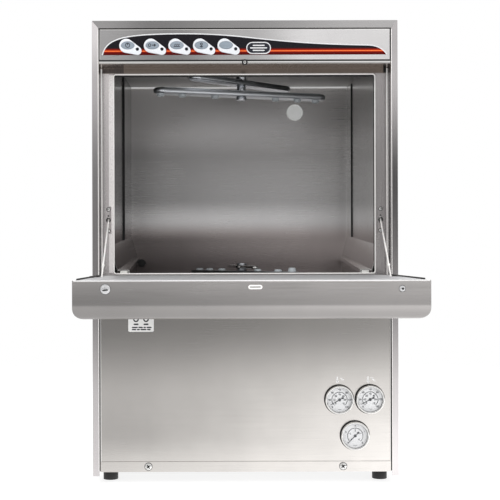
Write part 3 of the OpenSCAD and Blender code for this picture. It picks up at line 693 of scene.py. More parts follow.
# Plain marks on the keys: rings as (x, y, radius) and bars as (x, y, length, width, angle)
KEY_MARKS = {
    "power_button": ([(0, 0, 4.2)], [(0, 2.2, 5.0, 1.6, 90)]),
    "start_button": ([(-5.2, 0, 2.6)],
                     [(3.4, 0, 8.0, 1.6, 0), (5.0, 1.4, 3.6, 1.6, -40), (5.0, -1.4, 3.6, 1.6, 40)]),
    "fill_button": ([], [(0, -3.0, 13, 1.6, 0)] + [(x, 0.6, 4.6, 1.6, 60) for x in (-3.6, 0.2, 4.0)]),
    "drain_button": ([(0, 2.0, 2.0)],
                     [(0, -2.4, 5.0, 1.6, 90), (-1.6, -3.4, 3.4, 1.6, -45), (1.6, -3.4, 3.4, 1.6, 45)]),
    "delime_button": ([], []),
}
MARK = 0.30             # how far a mark stands out of its key


def build_key(name):
    """Oval key with a softly domed face."""
    x, z = key_centre(name)
    low, high = box_mm(name)
    profile = ((1.0, low.y - high.y + 4), (1.0, -1.2), (0.97, -0.6), (0.90, -0.2), (0.6, 0.05), (0.25, 0.15))
    bm = bmesh.new()
    rings = []
    for share, height in profile:
        rings.append(ring_of(bm, facing(x, low.y, z), height, 64, lambda a: key_radius(a, 26, 15) * share))
    join_rings(bm, rings)
    bm.faces.new(rings[0][::-1])
    bm.faces.new(rings[-1])
    add_piece(name.replace("button", "key"), bm, "key", body=name, hides=[name])


def build_key_mark(name):
    x, z = key_centre(name)
    face = box_mm(name)[0].y
    circles, bars = KEY_MARKS[name]
    bm = bmesh.new()
    for dx, dz, r in circles:
        add_lathe(bm, [(r - 0.7, 0.0), (r - 0.7, MARK), (r + 0.7, MARK), (r + 0.7, 0.0)],
                  facing(x + dx, face, z + dz), steps=32)
    for dx, dz, length, width, angle in bars:
        add_slab(bm, stadium(length, width, 4), 0.0, MARK, facing(x + dx, face, z + dz, angle))
    add_piece(name.replace("button", "mark"), bm, "ink", body=name, smooth=False)


def build_keys():
    for name in BUTTONS:
        build_key(name)
        if any(KEY_MARKS[name]):
            build_key_mark(name)


# ---------------------------------------------------------------- gauges

GAUGES = ("wash_needle", "rinse_needle", "pressure_needle")
# Dials as (ticks, ticks from one long tick to the next, numbers, step between the numbers)
TEMPERATURE_DIAL = (25, 4, 7, 20)
PRESSURE_DIAL = (21, 5, 5, 2)
DIALS = (TEMPERATURE_DIAL, TEMPERATURE_DIAL, PRESSURE_DIAL)
# Heights in front of the flange
PANEL_FACE = -2
DIAL_BACK = 5
DIAL_FACE = DIAL_BACK + 0.4
RIM = 12
BEZEL_R = 28.5
CUP_R = 26.0            # inside of the cup behind the glass
DIAL_R = 25.2
ARC_R = 16.0            # the printed arc
SCALE_SWEEP = 270       # degrees from the first mark to the last
PRINT = 0.08            # thickness of printed marks
NUMBER_HEIGHT = 3.6


def gauge_centres():
    """Centre of each gauge from its needle's joint, in mm."""
    places = [joint_place(name) / MM for name in GAUGES]
    return [(place.x, place.z) for place in places]


def add_number(bm, number, x, z):
    """Adds a small printed number to a dial."""
    curve = bpy.data.curves.new("number", "FONT")
    curve.body = str(number)
    curve.size = NUMBER_HEIGHT * 1.4
    curve.align_x = "CENTER"
    curve.align_y = "CENTER"
    curve.extrude = 0.05
    curve.offset = NUMBER_HEIGHT * 0.05
    text = bpy.data.objects.new("number_curve", curve)
    bpy.context.scene.collection.objects.link(text)
    mesh = bpy.data.meshes.new_from_object(text.evaluated_get(bpy.context.evaluated_depsgraph_get()))
    bpy.data.objects.remove(text)
    mesh.transform(facing(x, -DIAL_FACE - 0.05, z))
    bm.from_mesh(mesh)
    bpy.data.meshes.remove(mesh)


def add_bezel(bm, front):
    """Rolled rim, the cup behind the glass, and the case behind the panel."""
    add_lathe(bm, [(BEZEL_R - 1.6, PANEL_FACE), (BEZEL_R - 0.6, PANEL_FACE + 0.6), (BEZEL_R - 0.2, RIM - 4.5),
                   (BEZEL_R, RIM - 3.5), (BEZEL_R - 0.2, RIM - 1.6), (BEZEL_R - 0.9, RIM - 0.5),
                   (BEZEL_R - 1.9, RIM), (BEZEL_R - 2.9, RIM - 0.4), (CUP_R - 0.9, RIM - 1.2),
                   (CUP_R - 1.3, RIM - 2.2), (CUP_R - 1.3, RIM - 3.4), (CUP_R, RIM - 3.6),
                   (CUP_R, DIAL_BACK), (0, DIAL_BACK)], front, steps=96)
    add_lathe(bm, [(25, PANEL_FACE), (25, -34), (24, -36), (0, -36)], front, steps=64)


def add_scale(bm, front, ticks, group):
    """Ticks, an arc, a plain bar and the needle's seat on one dial."""
    top = DIAL_FACE + PRINT
    outer = ARC_R - 0.4
    for i in range(ticks):
        inner = ARC_R - (3.2 if i % group == 0 else 1.8)
        tick = [(inner, -0.45), (outer, -0.45), (outer, 0.45), (inner, 0.45)]
        add_slab(bm, tick, DIAL_FACE, top, spun(front, -45 + SCALE_SWEEP * i / (ticks - 1)))
    sides = ((ARC_R, spaced(-40, 220, 48)), (ARC_R - 1.1, spaced(220, -40, 48)))
    arc = [(r * math.cos(a), r * math.sin(a)) for r, angles in sides for a in angles]
    add_slab(bm, arc, DIAL_FACE, top, front)
    add_slab(bm, stadium(8, 0.8, 4), DIAL_FACE, top, front @ Matrix.Translation((0, -19, 0)))
    seat = [(2.2, DIAL_FACE), (2.2, DIAL_FACE + 0.5), (1.6, DIAL_FACE + 0.7), (0, DIAL_FACE + 0.7)]
    add_lathe(bm, seat, front, steps=24)


def build_gauges():
    bezels, dials, prints, shade_rings, numbers = [bmesh.new() for _ in range(5)]
    for (x, z), (ticks, group, count, step) in zip(gauge_centres(), DIALS):
        front = facing(x, 0, z)
        add_bezel(bezels, front)
        disc = [(DIAL_R, DIAL_BACK), (DIAL_R, DIAL_FACE - 0.1), (DIAL_R - 0.3, DIAL_FACE), (0, DIAL_FACE)]
        add_lathe(dials, disc, front, steps=72)
        add_scale(prints, front, ticks, group)
        # Black rings painted as the shade round each bezel and inside its cup
        add_ring(shade_rings, 26.6, 30.0, PANEL_FACE, PANEL_FACE + 1.2, front)
        add_ring(shade_rings, 24.5, 25.9, DIAL_FACE, DIAL_FACE + 0.3, front)
        for i in range(count):
            angle = math.radians(225 - SCALE_SWEEP * i / (count - 1))
            for radius, shown in ((20.0, i * step), (10.4, i * step // 2)):
                add_number(numbers, shown, x + radius * math.cos(angle), z + radius * math.sin(angle))
    add_piece("gauge_shade_rings", shade_rings, "seal_and_shade", smooth=False)
    add_piece("gauge_bezels", bezels, "chrome", hides=["gauge_cases"], angle=50)
    add_piece("gauge_dials", dials, "dial")
    add_piece("dial_marks", prints, "ink", smooth=False)
    add_piece("dial_numbers", numbers, "ink", smooth=False)


NEEDLE_LEAN = (30, 28, 45)      # how far below level each needle points, in degrees
NEEDLE_TAIL = (9, 9, 10)


def build_needles():
    """Slim pointers with a round hub and a broad tail."""
    for name, (x, z), angle, tail in zip(GAUGES, gauge_centres(), NEEDLE_LEAN, NEEDLE_TAIL):
        back = -box_mm(name)[1].y
        upper = [(tail, 1.9), (tail - 3, 1.7), (tail - 4, 0.6), (2, 0.5), (-2, 0.8), (-20, 0.45)]
        outline = [(along, -across) for along, across in upper[::-1]] + [(tail + 0.6, 0)] + upper
        bm = bmesh.new()
        add_slab(bm, outline, back, back + 0.55, facing(x, 0, z, angle))
        hub = [(2.8, back), (2.8, back + 0.6), (2.2, back + 1.1), (0, back + 1.2)]
        add_lathe(bm, hub, facing(x, 0, z), steps=32)
        add_piece(name.replace("needle", "pointer"), bm, "ink", body=name, hides=[name],
                  smooth=False)


def build_thermometers():
    """Small thermometer signs above the two upper gauges, with two and three bars beside them."""
    face = -PANEL_FACE
    bm = bmesh.new()
    for index, (x, z) in enumerate(gauge_centres()[:2]):
        place = facing(x - 3.5, face, z + 40)
        add_slab(bm, stadium(10, 2.6, 6), 0, 0.2, spun(place, 90))
        add_slab(bm, circle(0, -4.5, 2.8), 0, 0.2, place)
        for i in range(2 + index):
            add_slab(bm, stadium(5.5, 1.5, 4), 0, 0.2, facing(x + 4.5 + i * 2.4, face, z + 42 - i * 3.0))
    add_piece("thermometer_signs", bm, "print", smooth=False)


# ---------------------------------------------------------------- screws and labels

# Section of a domed head from its edge to its middle, as (share of the radius, share of the height)
HEAD_PROFILE = ((1, 0), (1, 0.2), (0.93, 0.4), (0.86, 0.45), (0.84, 0.55), (0.70, 0.82), (0.42, 0.97),
                (0.34, 1), (0.28, 0.55), (0, 0.45))


def add_screw(bm, x, depth, z, r, proud):
    """Domed screw head with a washer and a cross, facing the viewer."""
    place = facing(x, depth, z)
    add_lathe(bm, [(r * across, proud * up) for across, up in HEAD_PROFILE], place, steps=40)
    for turn in (20, 110):
        add_slab(bm, stadium(r * 1.1, r * 0.16, 3), proud * 0.9, proud * 1.02, spun(place, turn))


PANEL_SCREW_X = 194.3
PANEL_SCREW_Z = 35
PANEL_SCREW_DEPTH = 0.5
GUIDE_FACE = 48.5       # depth of the rod guides' front
HEADER_SCREW_Z = 841.5
LEFT_BOLT_X = -237
RIGHT_BOLT_X = 244


def build_screws():
    """Screws of the lower panel, the rod guides and the header, with black rings, crosses and holes painted as
    the shade in and round their recesses.
    """
    bm = bmesh.new()
    dark = bmesh.new()
    for x in (-PANEL_SCREW_X, PANEL_SCREW_X):
        spot = (x, PANEL_SCREW_DEPTH, PANEL_SCREW_Z)
        add_screw(bm, *spot, 7, 2.5)
        add_ring(dark, 6.6, 8.0, 0, 0.5, facing(*spot))
        for turn in (35, 125):
            add_slab(dark, stadium(9.5, 1.9, 4), 2.3, 2.62, facing(*spot, turn))
    low, high = box_mm("rod_guides")
    middle = (low.z + high.z) / 2
    for x in (6 - high.x, high.x - 6):
        for z in (middle - 22, middle + 22):
            place = facing(x, GUIDE_FACE, z)
            add_screw(bm, x, GUIDE_FACE, z, 3.5, 2.0)
            add_ring(dark, 3.4, 4.4, 0, 0.4, place)
            add_slab(dark, circle(0, 0, 1.2, 12), 1.9, 2.1, place)
        # Bush that the stay rod slides through
        add_ring(dark, 2.6, 4.6, 0, 3.0, facing(x, GUIDE_FACE, middle))
        for z in (middle - 9, middle + 9):
            add_slab(dark, circle(0, 0, 1.6, 12), 0, 0.5, facing(x, GUIDE_FACE, z))
    spot = (0, 0.1, HEADER_SCREW_Z)
    add_screw(bm, *spot, 4, 1.5)
    add_ring(dark, 3.0, 5.8, 0, 1.5, facing(*spot))
    add_slab(dark, circle(0, 0, 1.5, 12), 0.9, 1.6, facing(*spot))
    add_piece("screw_recess_shade", dark, "seal_and_shade", smooth=False)
    add_piece("cabinet_screws", bm, "chrome", hides=["panel_screws"])


def build_handle_bolts():
    """A wide slotted bolt on the left and a small one with a round recess on the right; the slot, the recess
    and a ring round each bolt are black, painted as shade.
    """
    low, high = box_mm("handle_screws")
    face, z = high.y, (low.z + high.z) / 2
    bm = bmesh.new()
    dark = bmesh.new()
    for x, r in ((LEFT_BOLT_X, 8), (RIGHT_BOLT_X, 5)):
        add_screw(bm, x, face, z, r, 2.0)
        add_ring(dark, r - 0.3, r + 0.6, 0, 0.4, facing(x, face, z))
    slot = facing(LEFT_BOLT_X, face, z - 1.5) @ Matrix.Rotation(0.12, 4, "Z")
    add_slab(dark, stadium(9.5, 2.2, 4), 1.9, 2.1, slot)
    add_slab(dark, circle(0.8, -0.3, 1.9, 16), 1.4, 2.1, facing(RIGHT_BOLT_X, face, z))
    add_piece("bolt_recess_shade", dark, "seal_and_shade", body="door", smooth=False)
    add_piece("handle_bolts", bm, "bolt", body="door", hides=["handle_screws"])


LABEL_ROWS = ((9, 6, 12, 7), (12, 9, 5, 10))    # lengths of the bars in each row
LABEL_PRINT = 0.06


def build_label():
    """White film with dark bars and two rings in place of its print."""
    low, high = box_mm("data_label")
    face = low.y
    bm = bmesh.new()
    add_slab(bm, rounded_box(low.x, low.z, high.x, high.z, 3), -0.15, 0.0, facing(0, face, 0))
    add_piece("label_film", bm, "label", hides=["data_label"], smooth=False)
    bm = bmesh.new()
    for row, lengths in enumerate(LABEL_ROWS):
        spot = low.x + 7
        for length in lengths:
            place = facing(spot + length / 2, face, low.z + 4.5 + row * 4.2)
            add_slab(bm, stadium(length, 2.6, 4), 0.0, LABEL_PRINT, place)
            spot += length + 1.2
    middle = (low.x + high.x) / 2
    for x in (middle - 10, middle + 10):
        add_slab(bm, stadium(10, 3.0, 4), 0.0, LABEL_PRINT, facing(x, face, low.z + 15))
        add_ring(bm, 3.0, 5.6, 0, LABEL_PRINT, facing(x, face, low.z + 25))
    add_piece("label_marks", bm, "ink", smooth=False)


# ---------------------------------------------------------------- chamber

LEFT_SEAM = 330         # depth of the joint in each side of the chamber
RIGHT_SEAM = 462
WALL = 1.2              # thickness of the chamber sheets
# Rolled edge round the door opening
OPEN_HALF = 267
OPEN_LOW = 419
OPEN_HIGH = 826
OPEN_DEPTH = 50
OPEN_R = 5
# Heights between which the jambs, the lower panel, the control panel and the flanges show their edges
JAMB_EDGE = (412, 838)
PANEL_EDGE = (26, 362)
CONTROL_EDGE = (846, 907)
FLANGE_EDGE = (26, 907)
EDGE_X = 291            # inner edge of the front flanges
# Drip edge under the controls
HEADER_LOW = 839.2
HEADER_HIGH = 843.8
PORT_X = 141
PORT_Z = 818


def build_seams():
    """Dark joint in each side of the chamber, and the weld where its ceiling meets the back, made bright by a
    glowing emission that paints its highlight.
    """
    half = box_mm("right_chamber_wall")[1].x - WALL
    bm = bmesh.new()
    add_block(bm, (-half - 0.5, LEFT_SEAM - 3, 492), (-half + 3.6, LEFT_SEAM + 3, 873), bevel=0.4, steps=1)
    add_block(bm, (half - 2.4, RIGHT_SEAM - 3, 500), (half + 0.5, RIGHT_SEAM + 3, 875), bevel=0.4, steps=1)
    add_piece("corner_seals", bm, "seal_and_shade", smooth=False)
    low, high = box_mm("chamber_back_wall")
    bm = bmesh.new()
    add_tube(bm, [at(x, low.y - 1.5, high.z - 2) for x in (1 - half, half - 1)], 1.9, steps=10)
    add_piece("ceiling_weld", bm, "weld")


def build_opening_edge():
    outline = rounded_box(-OPEN_HALF, OPEN_LOW, OPEN_HALF, OPEN_HIGH, OPEN_R, steps=6)
    bm = bmesh.new()
    add_tube(bm, [at(x, OPEN_DEPTH, z) for x, z in outline], 1.3, steps=10, closed=True)
    add_piece("opening_bead", bm, "lip")


def build_shadow_gaps():
    """Dark gaps behind the rolled edge and beside the jambs and the front panels."""
    near, far = OPEN_DEPTH + 1.5, OPEN_DEPTH + 3.5
    top = OPEN_HIGH - 1
    bm = bmesh.new()
    add_block(bm, (1 - OPEN_HALF, near, top - 3.5), (OPEN_HALF - 1, far, top), bevel=0.3, steps=1)
    add_block(bm, (OPEN_HALF - 2.8, near, OPEN_LOW + 2), (OPEN_HALF - 0.6, far, top), bevel=0.3, steps=1)
    add_block(bm, (EDGE_X - 6.5, 49.2, 829), (EDGE_X - 0.5, OPEN_DEPTH, 839), bevel=0.3, steps=1)
    for side in (-1, 1):
        add_rod(bm, side * (EDGE_X + 0.6), 25, *JAMB_EDGE, 0.5)
        add_rod(bm, side * EDGE_X, 1.9, *PANEL_EDGE, 1.0)
        add_rod(bm, side * EDGE_X, 1.9, *CONTROL_EDGE, 1.0)
    add_block(bm, (1 - EDGE_X, 2.2, 844.2), (EDGE_X - 1, 3.4, 847.4), bevel=0.3, steps=1)
    add_piece("shadow_gaps", bm, "seal_and_shade", smooth=False)


def build_folds():
    """Glowing sheet painted as the highlight on the left jamb's fold, a dark sheet painted as the shade in the
    header's corner, and the flanges' folded edges, whose glowing emission is painted light.
    """
    bm = bmesh.new()
    low, high = (-OPEN_HALF - 10, 49.6, OPEN_LOW + 2), (-OPEN_HALF - 1, 50.1, OPEN_HIGH - 1)
    add_block(bm, low, high, bevel=0.2, steps=1)
    add_piece("jamb_fold_highlight", bm, "fold")
    bm = bmesh.new()
    add_block(bm, (-EDGE_X, 49.7, 828.5), (-246, 50.1, 838.6), bevel=0.2, steps=1)
    add_piece("header_corner_shade", bm, "corner")
    bm = bmesh.new()
    for side in (-1, 1):
        add_rod(bm, side * (EDGE_X + 0.2), 49.4, *JAMB_EDGE, 0.8)
        add_rod(bm, side * (EDGE_X + 1.8), 0.3, *FLANGE_EDGE, 0.7)
    add_piece("folded_edges", bm, "lip")


def build_port_cover():
    """Round cap with a raised rim, low in the middle, and the spigot behind it."""
    profile = [(8, -13), (8, -3.1), (20.5, -3.0), (20.5, -1.2), (19.8, -0.4), (18.6, 0), (17.4, -0.5),
               (16.6, -0.7), (6, -0.4), (5, -0.1), (0, 0)]
    bm = bmesh.new()
    add_lathe(bm, profile, facing(PORT_X, box_mm("port_cap")[0].y, PORT_Z), steps=64)
    add_piece("port_cover", bm, "cap", hides=["port_cap"])


# ---------------------------------------------------------------- spray arms

NOZZLES = (-190, -140, -63, 83, 137, 182)
NOZZLE_LIFT = 5         # room for the nozzles below an arm that sprays downwards
CLEAR_R = 160           # beyond this radius nothing turns above the lower wash arm
RINSE_HOLES = 6         # on each side of the hub
RINSE_PITCH = 23
WASH_SIZE = (206, 38, 13)       # half length, width and thickness
UPPER_RINSE_SIZE = (148, 34, 12)
LOWER_RINSE_SIZE = (148, 14, 6)


def build_nozzles(name, body, place, thick, side):
    """Turned nozzles above or below a wash arm, each with a sunk mouth."""
    bm = bmesh.new()
    for x in NOZZLES:
        spot = place @ Matrix.Translation((x, 0, thick if side > 0 else 0))
        reach = 8.5 if x < -CLEAR_R else 4.6
        if side < 0:
            spot = spot @ Matrix.Rotation(math.pi, 4, "X")
            reach = 6.0
        add_lathe(bm, [(8.5, -0.3), (8.5, reach * 0.45), (7.9, reach * 0.7), (6.4, reach * 0.95), (4.6, reach),
                       (4.2, reach * 0.7), (0, reach * 0.6)], spot, steps=32)
    add_piece(name, bm, "nozzle", body=body)


def build_arm(name, new_name, material, angle, size, edge, side=0):
    """Spray arm on its spindle; side is -1 for nozzles below, 1 for nozzles above, 0 for none."""
    spindle = joint_place(name)
    half, width, thick = size
    base = box_mm(name)[0].z + (NOZZLE_LIFT if side < 0 else 0)
    place = upright(spindle.x / MM, depth_of(spindle.y), base, angle)
    bm = bmesh.new()
    add_slab(bm, stadium(2 * half, width, 14), 0.2, thick - 0.2, place, bevel=edge, steps=4)
    hub = [(14, 0.1), (14.6, 0.8), (14.6, thick - 0.8), (14, thick - 0.1), (7.3, thick - 0.1)]
    add_lathe(bm, hub, place, steps=48)
    if not side:
        hole = [(2.4, thick - 0.3), (2.4, thick + 0.5), (1.6, thick + 0.9), (0, thick + 0.9)]
        for i in range(1, RINSE_HOLES + 1):
            for x in (-i * RINSE_PITCH, i * RINSE_PITCH):
                add_lathe(bm, hole, place @ Matrix.Translation((x, 0, 0)), steps=20)
    add_piece(new_name, bm, material, body=name, hides=[name])
    if side:
        build_nozzles(new_name + "_nozzles", name, place, thick, side)


def build_arms():
    build_arm("upper_wash_arm", "upper_spray_arm", "arm", 17, WASH_SIZE, 5.5, side=-1)
    build_arm("lower_wash_arm", "lower_spray_arm", "arm", 123, WASH_SIZE, 5.5, side=1)
    build_arm("upper_rinse_arm", "upper_rinse_tube", "arm", 39.5, UPPER_RINSE_SIZE, 5.0)
    build_arm("lower_rinse_arm", "lower_rinse_tube", "bright", 100, LOWER_RINSE_SIZE, 2.8)


# ---------------------------------------------------------------- door and stay rods

ROD_R = 1.5             # radius of the plain part of a stay rod
ROD_END = 16.6          # how far it runs on past its guide
NUT_START = 8.6
NUT_R = 3.0
NUT_LENGTH = 6
LOCK_NUT = 40           # from the rod's eye
THREADS = 9


def build_rod(name):
    """Bright round rod with a riveted eye, a lock nut by the door, and a thread and stop nut at its end."""
    pivot, hinge = joint_place(name), joint_place("door")
    guide_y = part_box("rod_guides")[1].y
    reach = math.hypot(pivot.y - hinge.y, pivot.z - hinge.z)
    guide_z = hinge.z + math.sqrt(reach ** 2 - (guide_y - hinge.y) ** 2)
    angle = math.atan2(guide_z - pivot.z, guide_y - pivot.y)
    span = math.hypot(guide_z - pivot.z, guide_y - pivot.y) / MM
    turn = Matrix.Translation(pivot) @ Matrix.Rotation(angle - math.pi / 2, 4, "X") @ Matrix.Scale(MM, 4)
    across = Matrix.Translation(pivot) @ Matrix.Rotation(math.pi / 2, 4, "Y") @ Matrix.Scale(MM, 4)
    end, nut = span + ROD_END, span + NUT_START
    bm = bmesh.new()
    add_lathe(bm, [(0, 3), (ROD_R, 3), (ROD_R, end - 0.8), (0.9, end), (0, end)], turn, steps=24)
    nut_end = nut + NUT_LENGTH
    add_lathe(bm, [(ROD_R, nut), (NUT_R, nut + 0.4), (NUT_R, nut_end - 0.4), (ROD_R, nut_end)], turn, steps=6)
    for i in range(THREADS):
        z = nut - 1 - i
        add_lathe(bm, [(ROD_R, z - 0.3), (ROD_R + 0.15, z), (ROD_R, z + 0.3)], turn, steps=20)
    add_lathe(bm, [(ROD_R, LOCK_NUT), (2.8, LOCK_NUT + 0.4), (2.8, LOCK_NUT + 3.6), (ROD_R, LOCK_NUT + 4)],
              turn, steps=6)
    add_lathe(bm, [(2.1, -2.5), (4.6, -2.5), (5, -2.1), (5, 2.1), (4.6, 2.5), (2.1, 2.5)], across, steps=32)
    add_piece(name.replace("stay_rod", "rod_and_eye"), bm, "lip", body=name, hides=[name])


LINER_MARGIN = 34       # border round the pressed panel, which is narrower at the near edge
LINER_SLOPE = 7
LINER_SUNK = 2.2
LINER_SHEET = 1.4
POCKET_X = 270          # inner side of the pocket that each rod folds into
POCKET_HALF = 33.5
POCKET_DEEP = 30
POCKET_WALL = 1.5


def build_liner():
    """Door liner with a raised border, a pressed centre panel and a pocket for each rod."""
    low, high = box_mm("door_inner_skin")
    half, top, near, far = high.x, high.z, low.y, high.y
    middle = depth_of(joint_place("left_stay_rod").y) + 0.5
    pocket = (middle - POCKET_HALF, middle + POCKET_HALF)
    rise_x = half - LINER_MARGIN
    rise_near, rise_far = near + LINER_MARGIN * 0.6, far - LINER_MARGIN + LINER_SLOPE
    right = [0, rise_x - LINER_SLOPE, rise_x, POCKET_X - 1, POCKET_X, half]
    xs = [-x for x in right[:0:-1]] + right
    slopes = (rise_near, rise_near + LINER_SLOPE, rise_far - LINER_SLOPE, rise_far)
    ys = sorted({near, *slopes, *pocket, far - 4, far})

    def corner(x, y):
        inside = min(rise_x - abs(x), y - rise_near, rise_far - y)
        return at(x, y, top - LINER_SUNK * max(0.0, min(1.0, inside / LINER_SLOPE)))

    bm = bmesh.new()
    grid = [[bm.verts.new(corner(x, y)) for y in ys] for x in xs]
    for i in range(len(xs) - 1):
        beside = min(abs(xs[i]), abs(xs[i + 1])) >= POCKET_X
        for j in range(len(ys) - 1):
            within = ys[j] >= pocket[0] - 0.01 and ys[j + 1] <= pocket[1] + 0.01
            if not (beside and within):
                bm.faces.new((grid[i][j], grid[i + 1][j], grid[i + 1][j + 1], grid[i][j + 1]))
    piece = add_piece("door_liner", bm, "liner", body="door", hides=["door_inner_skin"],
                      angle=20)
    sheet = piece.modifiers.new("sheet", "SOLIDIFY")
    sheet.thickness = LINER_SHEET * MM
    sheet.offset = -1

    bm = bmesh.new()
    floor, rim = top - POCKET_DEEP, top - LINER_SHEET + 0.1
    for side in (-1, 1):
        x0, x1 = sorted((side * POCKET_X, side * (POCKET_X - POCKET_WALL)))
        add_block(bm, (x0, pocket[0], floor), (x1, pocket[1], rim), bevel=0.2, steps=1)
        x0, x1 = sorted((side * POCKET_X, side * (half - 0.1)))
        for y in (pocket[0] - POCKET_WALL, pocket[1]):
            add_block(bm, (x0, y, floor), (x1, y + POCKET_WALL, rim), bevel=0.2, steps=1)
    add_piece("rod_pocket_walls", bm, "chamber_side", body="door", smooth=False)


HANDLE_TOP_R = 2.6      # rounding of the handle's top edge
HANDLE_LOW_R = 24       # rounding of its lower edge
HANDLE_CORNER_R = 17    # rounding of its outer lower corners
HANDLE_SHEET = 1        # the handle's face lies this far behind the CAD node's


def handle_section(near, back, low_z, high_z):
    """Outline of the handle in depth and height, from its back at the top round to its back below."""
    r = HANDLE_TOP_R
    top = [(near + r - r * math.sin(a), high_z - r + r * math.cos(a)) for a in spaced(0, 90, 8)]
    r = HANDLE_LOW_R
    bottom = [(near + r - r * math.cos(a), low_z + r - r * math.sin(a)) for a in spaced(0, 90, 16)]
    return [(back, high_z - 0.4)] + top + bottom + [(back, low_z)]


def build_handle():
    """Pull with a rolled top edge, a flat face, a softly rounded lower edge and round outer corners."""
    low, high = box_mm("door_handle")
    half, near = high.x, low.y + HANDLE_SHEET
    section = handle_section(near, high.y, low.z, high.z)
    # Places from the end inwards, as (distance, how much the section shrinks there)
    stations = [(0.0, 0.9), (0.3, 0.3), (0.9, 0.0)]
    stations += [(HANDLE_CORNER_R * (1 - math.cos(a)) + 0.9, 0.0) for a in spaced(10, 90, 12)]
    bm = bmesh.new()

    def ring_at(side, along, shrink):
        t = max(0.0, HANDLE_CORNER_R - along)
        floor_z = low.z + HANDLE_CORNER_R - math.sqrt(HANDLE_CORNER_R ** 2 - t ** 2)
        ring = []
        for depth, z in section:
            lift = max(z, floor_z) if shrink == 0 else max(min(z, high.z - shrink), floor_z + shrink)
            ring.append(bm.verts.new(at(side * (half - along), max(depth, near + shrink), lift)))
        return ring

    rings = [ring_at(-1, *station) for station in stations]
    rings += [ring_at(1, *station) for station in stations[::-1]]
    join_rings(bm, rings)
    bm.faces.new(rings[0])
    bm.faces.new(rings[-1])
    bmesh.ops.remove_doubles(bm, verts=bm.verts, dist=0.00001)
    bmesh.ops.dissolve_degenerate(bm, edges=bm.edges, dist=0.00001)
    add_piece("rolled_handle", bm, "handle", body="door", hides=["door_handle"], angle=30)
    # Glowing tube along the handle's top edge, a painted highlight
    bm = bmesh.new()
    add_tube(bm, [at(x, near + 1.3, high.z - 0.9) for x in (2 - half, half - 2)], 0.9, steps=10)
    add_piece("handle_edge_highlight", bm, "weld", body="door")


def build_panel_edges():
    """Bright folded edges round the front panels, and the rolled drip edge under the controls."""
    bm = bmesh.new()
    low, high = box_mm("control_panel")
    x, bottom, top = high.x - 0.7, low.z + 0.8, high.z - 0.7
    corners = [(-x, bottom), (-x, top), (x, top), (x, bottom)]
    add_tube(bm, [at(side, low.y, z) for side, z in corners], 0.8, steps=8)
    low, high = box_mm("lower_panel")
    for x in (1 - high.x, high.x - 1):
        add_rod(bm, x, low.y + 0.8, low.z + 1, high.z - 1, 0.8)
    add_block(bm, (-EDGE_X, 0.1, HEADER_LOW), (EDGE_X, 1.5, HEADER_HIGH), bevel=0.6, steps=3)
    add_piece("panel_edges", bm, "bright")


SEAL_END = -12          # depth where the door's side seals stop, short of the frame
CATCH = (-172, -146)    # depths of the rubber catch on the door's left edge


def build_door_edges():
    """Dark sealing strip along each side of the open door, and a catch on the left one."""
    low, high = box_mm("door_outer_skin")
    top = box_mm("door_inner_skin")[1].z
    half = high.x
    bm = bmesh.new()
    for side in (-1, 1):
        x0, x1 = sorted((side * (half - 3.2), side * (half - 0.2)))
        add_block(bm, (x0, low.y + 1, top), (x1, SEAL_END, top + 2.4), bevel=0.8)
    add_block(bm, (-half + 0.2, CATCH[0], top), (-half + 6, CATCH[1], top + 2.9), bevel=1.0)
    add_piece("door_seals", bm, "black", body="door")


PLATE_X = 6
PLATE_Z = 405


def build_handle_plate():
    """Blank oblong plate on the handle."""
    place = facing(PLATE_X, box_mm("door_handle")[0].y + HANDLE_SHEET, PLATE_Z)
    bm = bmesh.new()
    add_slab(bm, stadium(23, 7, 10), 0.9, 1.25, place, bevel=0.15)
    add_piece("handle_plate", bm, "lip", body="door")
    bm = bmesh.new()
    add_slab(bm, stadium(18, 1.6, 6), 1.25, 1.32, place)
    add_piece("handle_plate_line", bm, "ink", body="door", smooth=False)


# ---------------------------------------------------------------- stage and light

FLOOR_R = 2.4           # the floor fades out towards this radius, in metres
FADE_START = 0.7


def build_stage():
    bm = bmesh.new()
    bmesh.ops.create_circle(bm, cap_ends=True, segments=96, radius=FLOOR_R)
    mesh = bpy.data.meshes.new("floor")
    bm.to_mesh(mesh)
    bm.free()
    floor = bpy.data.objects.new("floor", mesh)
    bpy.context.scene.collection.objects.link(floor)
    floor.visible_glossy = False
    s = Shader("floor_pale", (0.35, 0.35, 0.35), 0.0, 0.7)
    s.set("Emission Color", (0.80, 0.80, 0.80, 1))
    s.set("Emission Strength", 1.0)
    s.set("Specular IOR Level", 0.0)
    distance = s.add("VectorMath", {0: s.place}, operation="LENGTH").outputs["Value"]
    s.to(s.spread(distance, 1, 0, FADE_START, FLOOR_R - 0.1), "Alpha")
    mesh.materials.append(s.mat)


def area_light(name, place, target, size, power):
    data = bpy.data.lights.new(name, "AREA")
    data.shape = "RECTANGLE"
    data.size, data.size_y = size
    data.energy = power
    lamp = bpy.data.objects.new(name, data)
    bpy.context.scene.collection.objects.link(lamp)
    lamp.location = place
    lamp.visible_glossy = False     # steel mirrors the studio itself, not the lamps
    lamp.rotation_euler = (Vector(target) - Vector(place)).to_track_quat("-Z", "Y").to_euler()


# Brightness of the studio on its left and right, by the sine of the height above the horizon:
# a pale floor, a dim horizon, soft boxes above it and a darker ceiling
STUDIO_LEFT = ((-1, 0.7), (-0.2, 0.7), (0, 0.2), (0.25, 0.6), (1, 0.3))
STUDIO_RIGHT = ((-1, 0.85), (-0.2, 1), (0.05, 0.1), (0.25, 0.7), (1, 0.3))
STUDIO_TURN = (-0.12, 0.20)     # where the left side changes into the right, by the sine across
STUDIO_STRENGTH = 1.4
BACKDROP = 1.0


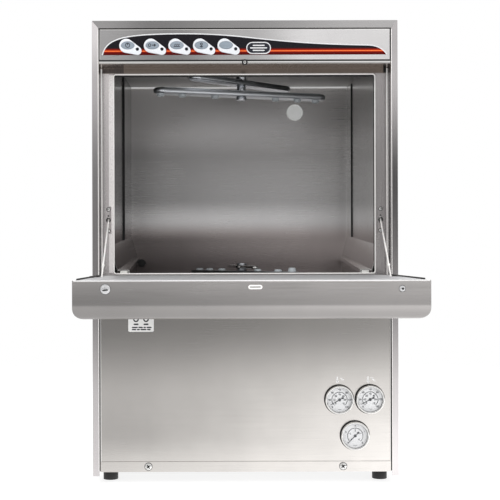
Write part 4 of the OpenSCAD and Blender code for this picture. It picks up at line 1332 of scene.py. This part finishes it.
def build_world():
    """Studio that the steel mirrors, behind a plain backdrop that only the camera sees."""
    world = bpy.data.worlds.new("studio")
    bpy.context.scene.world = world
    world.use_nodes = True
    tree = world.node_tree
    tree.nodes.clear()
    place = tree.nodes.new("ShaderNodeTexCoord").outputs["Generated"]
    split = add_node(tree, "SeparateXYZ", {"Vector": place}).outputs
    up = add_spread(tree, split["Z"], 0, 1, -1, 1)
    left, right = [add_ramp(tree, up, [((z + 1) / 2, (level,) * 3) for z, level in stops])
                   for stops in (STUDIO_LEFT, STUDIO_RIGHT)]
    inputs = {"Factor": add_spread(tree, split["X"], 0, 1, *STUDIO_TURN), "A": left, "B": right}
    color = add_node(tree, "Mix", inputs, data_type="RGBA").outputs["Result"]
    studio = add_node(tree, "Background", {"Strength": STUDIO_STRENGTH, "Color": color})
    backdrop = add_node(tree, "Background", {"Color": (BACKDROP, BACKDROP, BACKDROP, 1)})
    seen = tree.nodes.new("ShaderNodeLightPath").outputs["Is Camera Ray"]
    shaders = {0: seen, 1: studio.outputs["Background"], 2: backdrop.outputs["Background"]}
    choice = add_node(tree, "MixShader", shaders).outputs["Shader"]
    add_node(tree, "OutputWorld", {"Surface": choice})


def build_lights():
    area_light("key_left", (-2.2, -2.6, 2.6), (0, -0.1, 0.4), (1.6, 1.6), 55)
    area_light("fill_right", (2.6, -2.2, 1.8), (0, -0.1, 0.4), (1.6, 2.0), 45)
    area_light("top", (0, 0.2, 3.2), (0, 0.1, 0), (2.4, 2.4), 28)
    area_light("rear", (0.6, 3.0, 2.0), (0, 0.2, 0.4), (2.0, 1.6), 40)


# ---------------------------------------------------------------- assembly

skin_nodes()
build_overlay()
build_badge()
build_surrounds()
build_keys()
build_gauges()
build_needles()
build_thermometers()
build_screws()
build_handle_bolts()
build_label()
build_seams()
build_opening_edge()
build_shadow_gaps()
build_folds()
build_port_cover()
build_arms()
for rod in ("left_stay_rod", "right_stay_rod"):
    build_rod(rod)
build_liner()
build_handle_plate()
build_handle()
build_panel_edges()
build_door_edges()
build_stage()
build_world()
build_lights()
bpy.context.scene.view_settings.view_transform = "Standard"
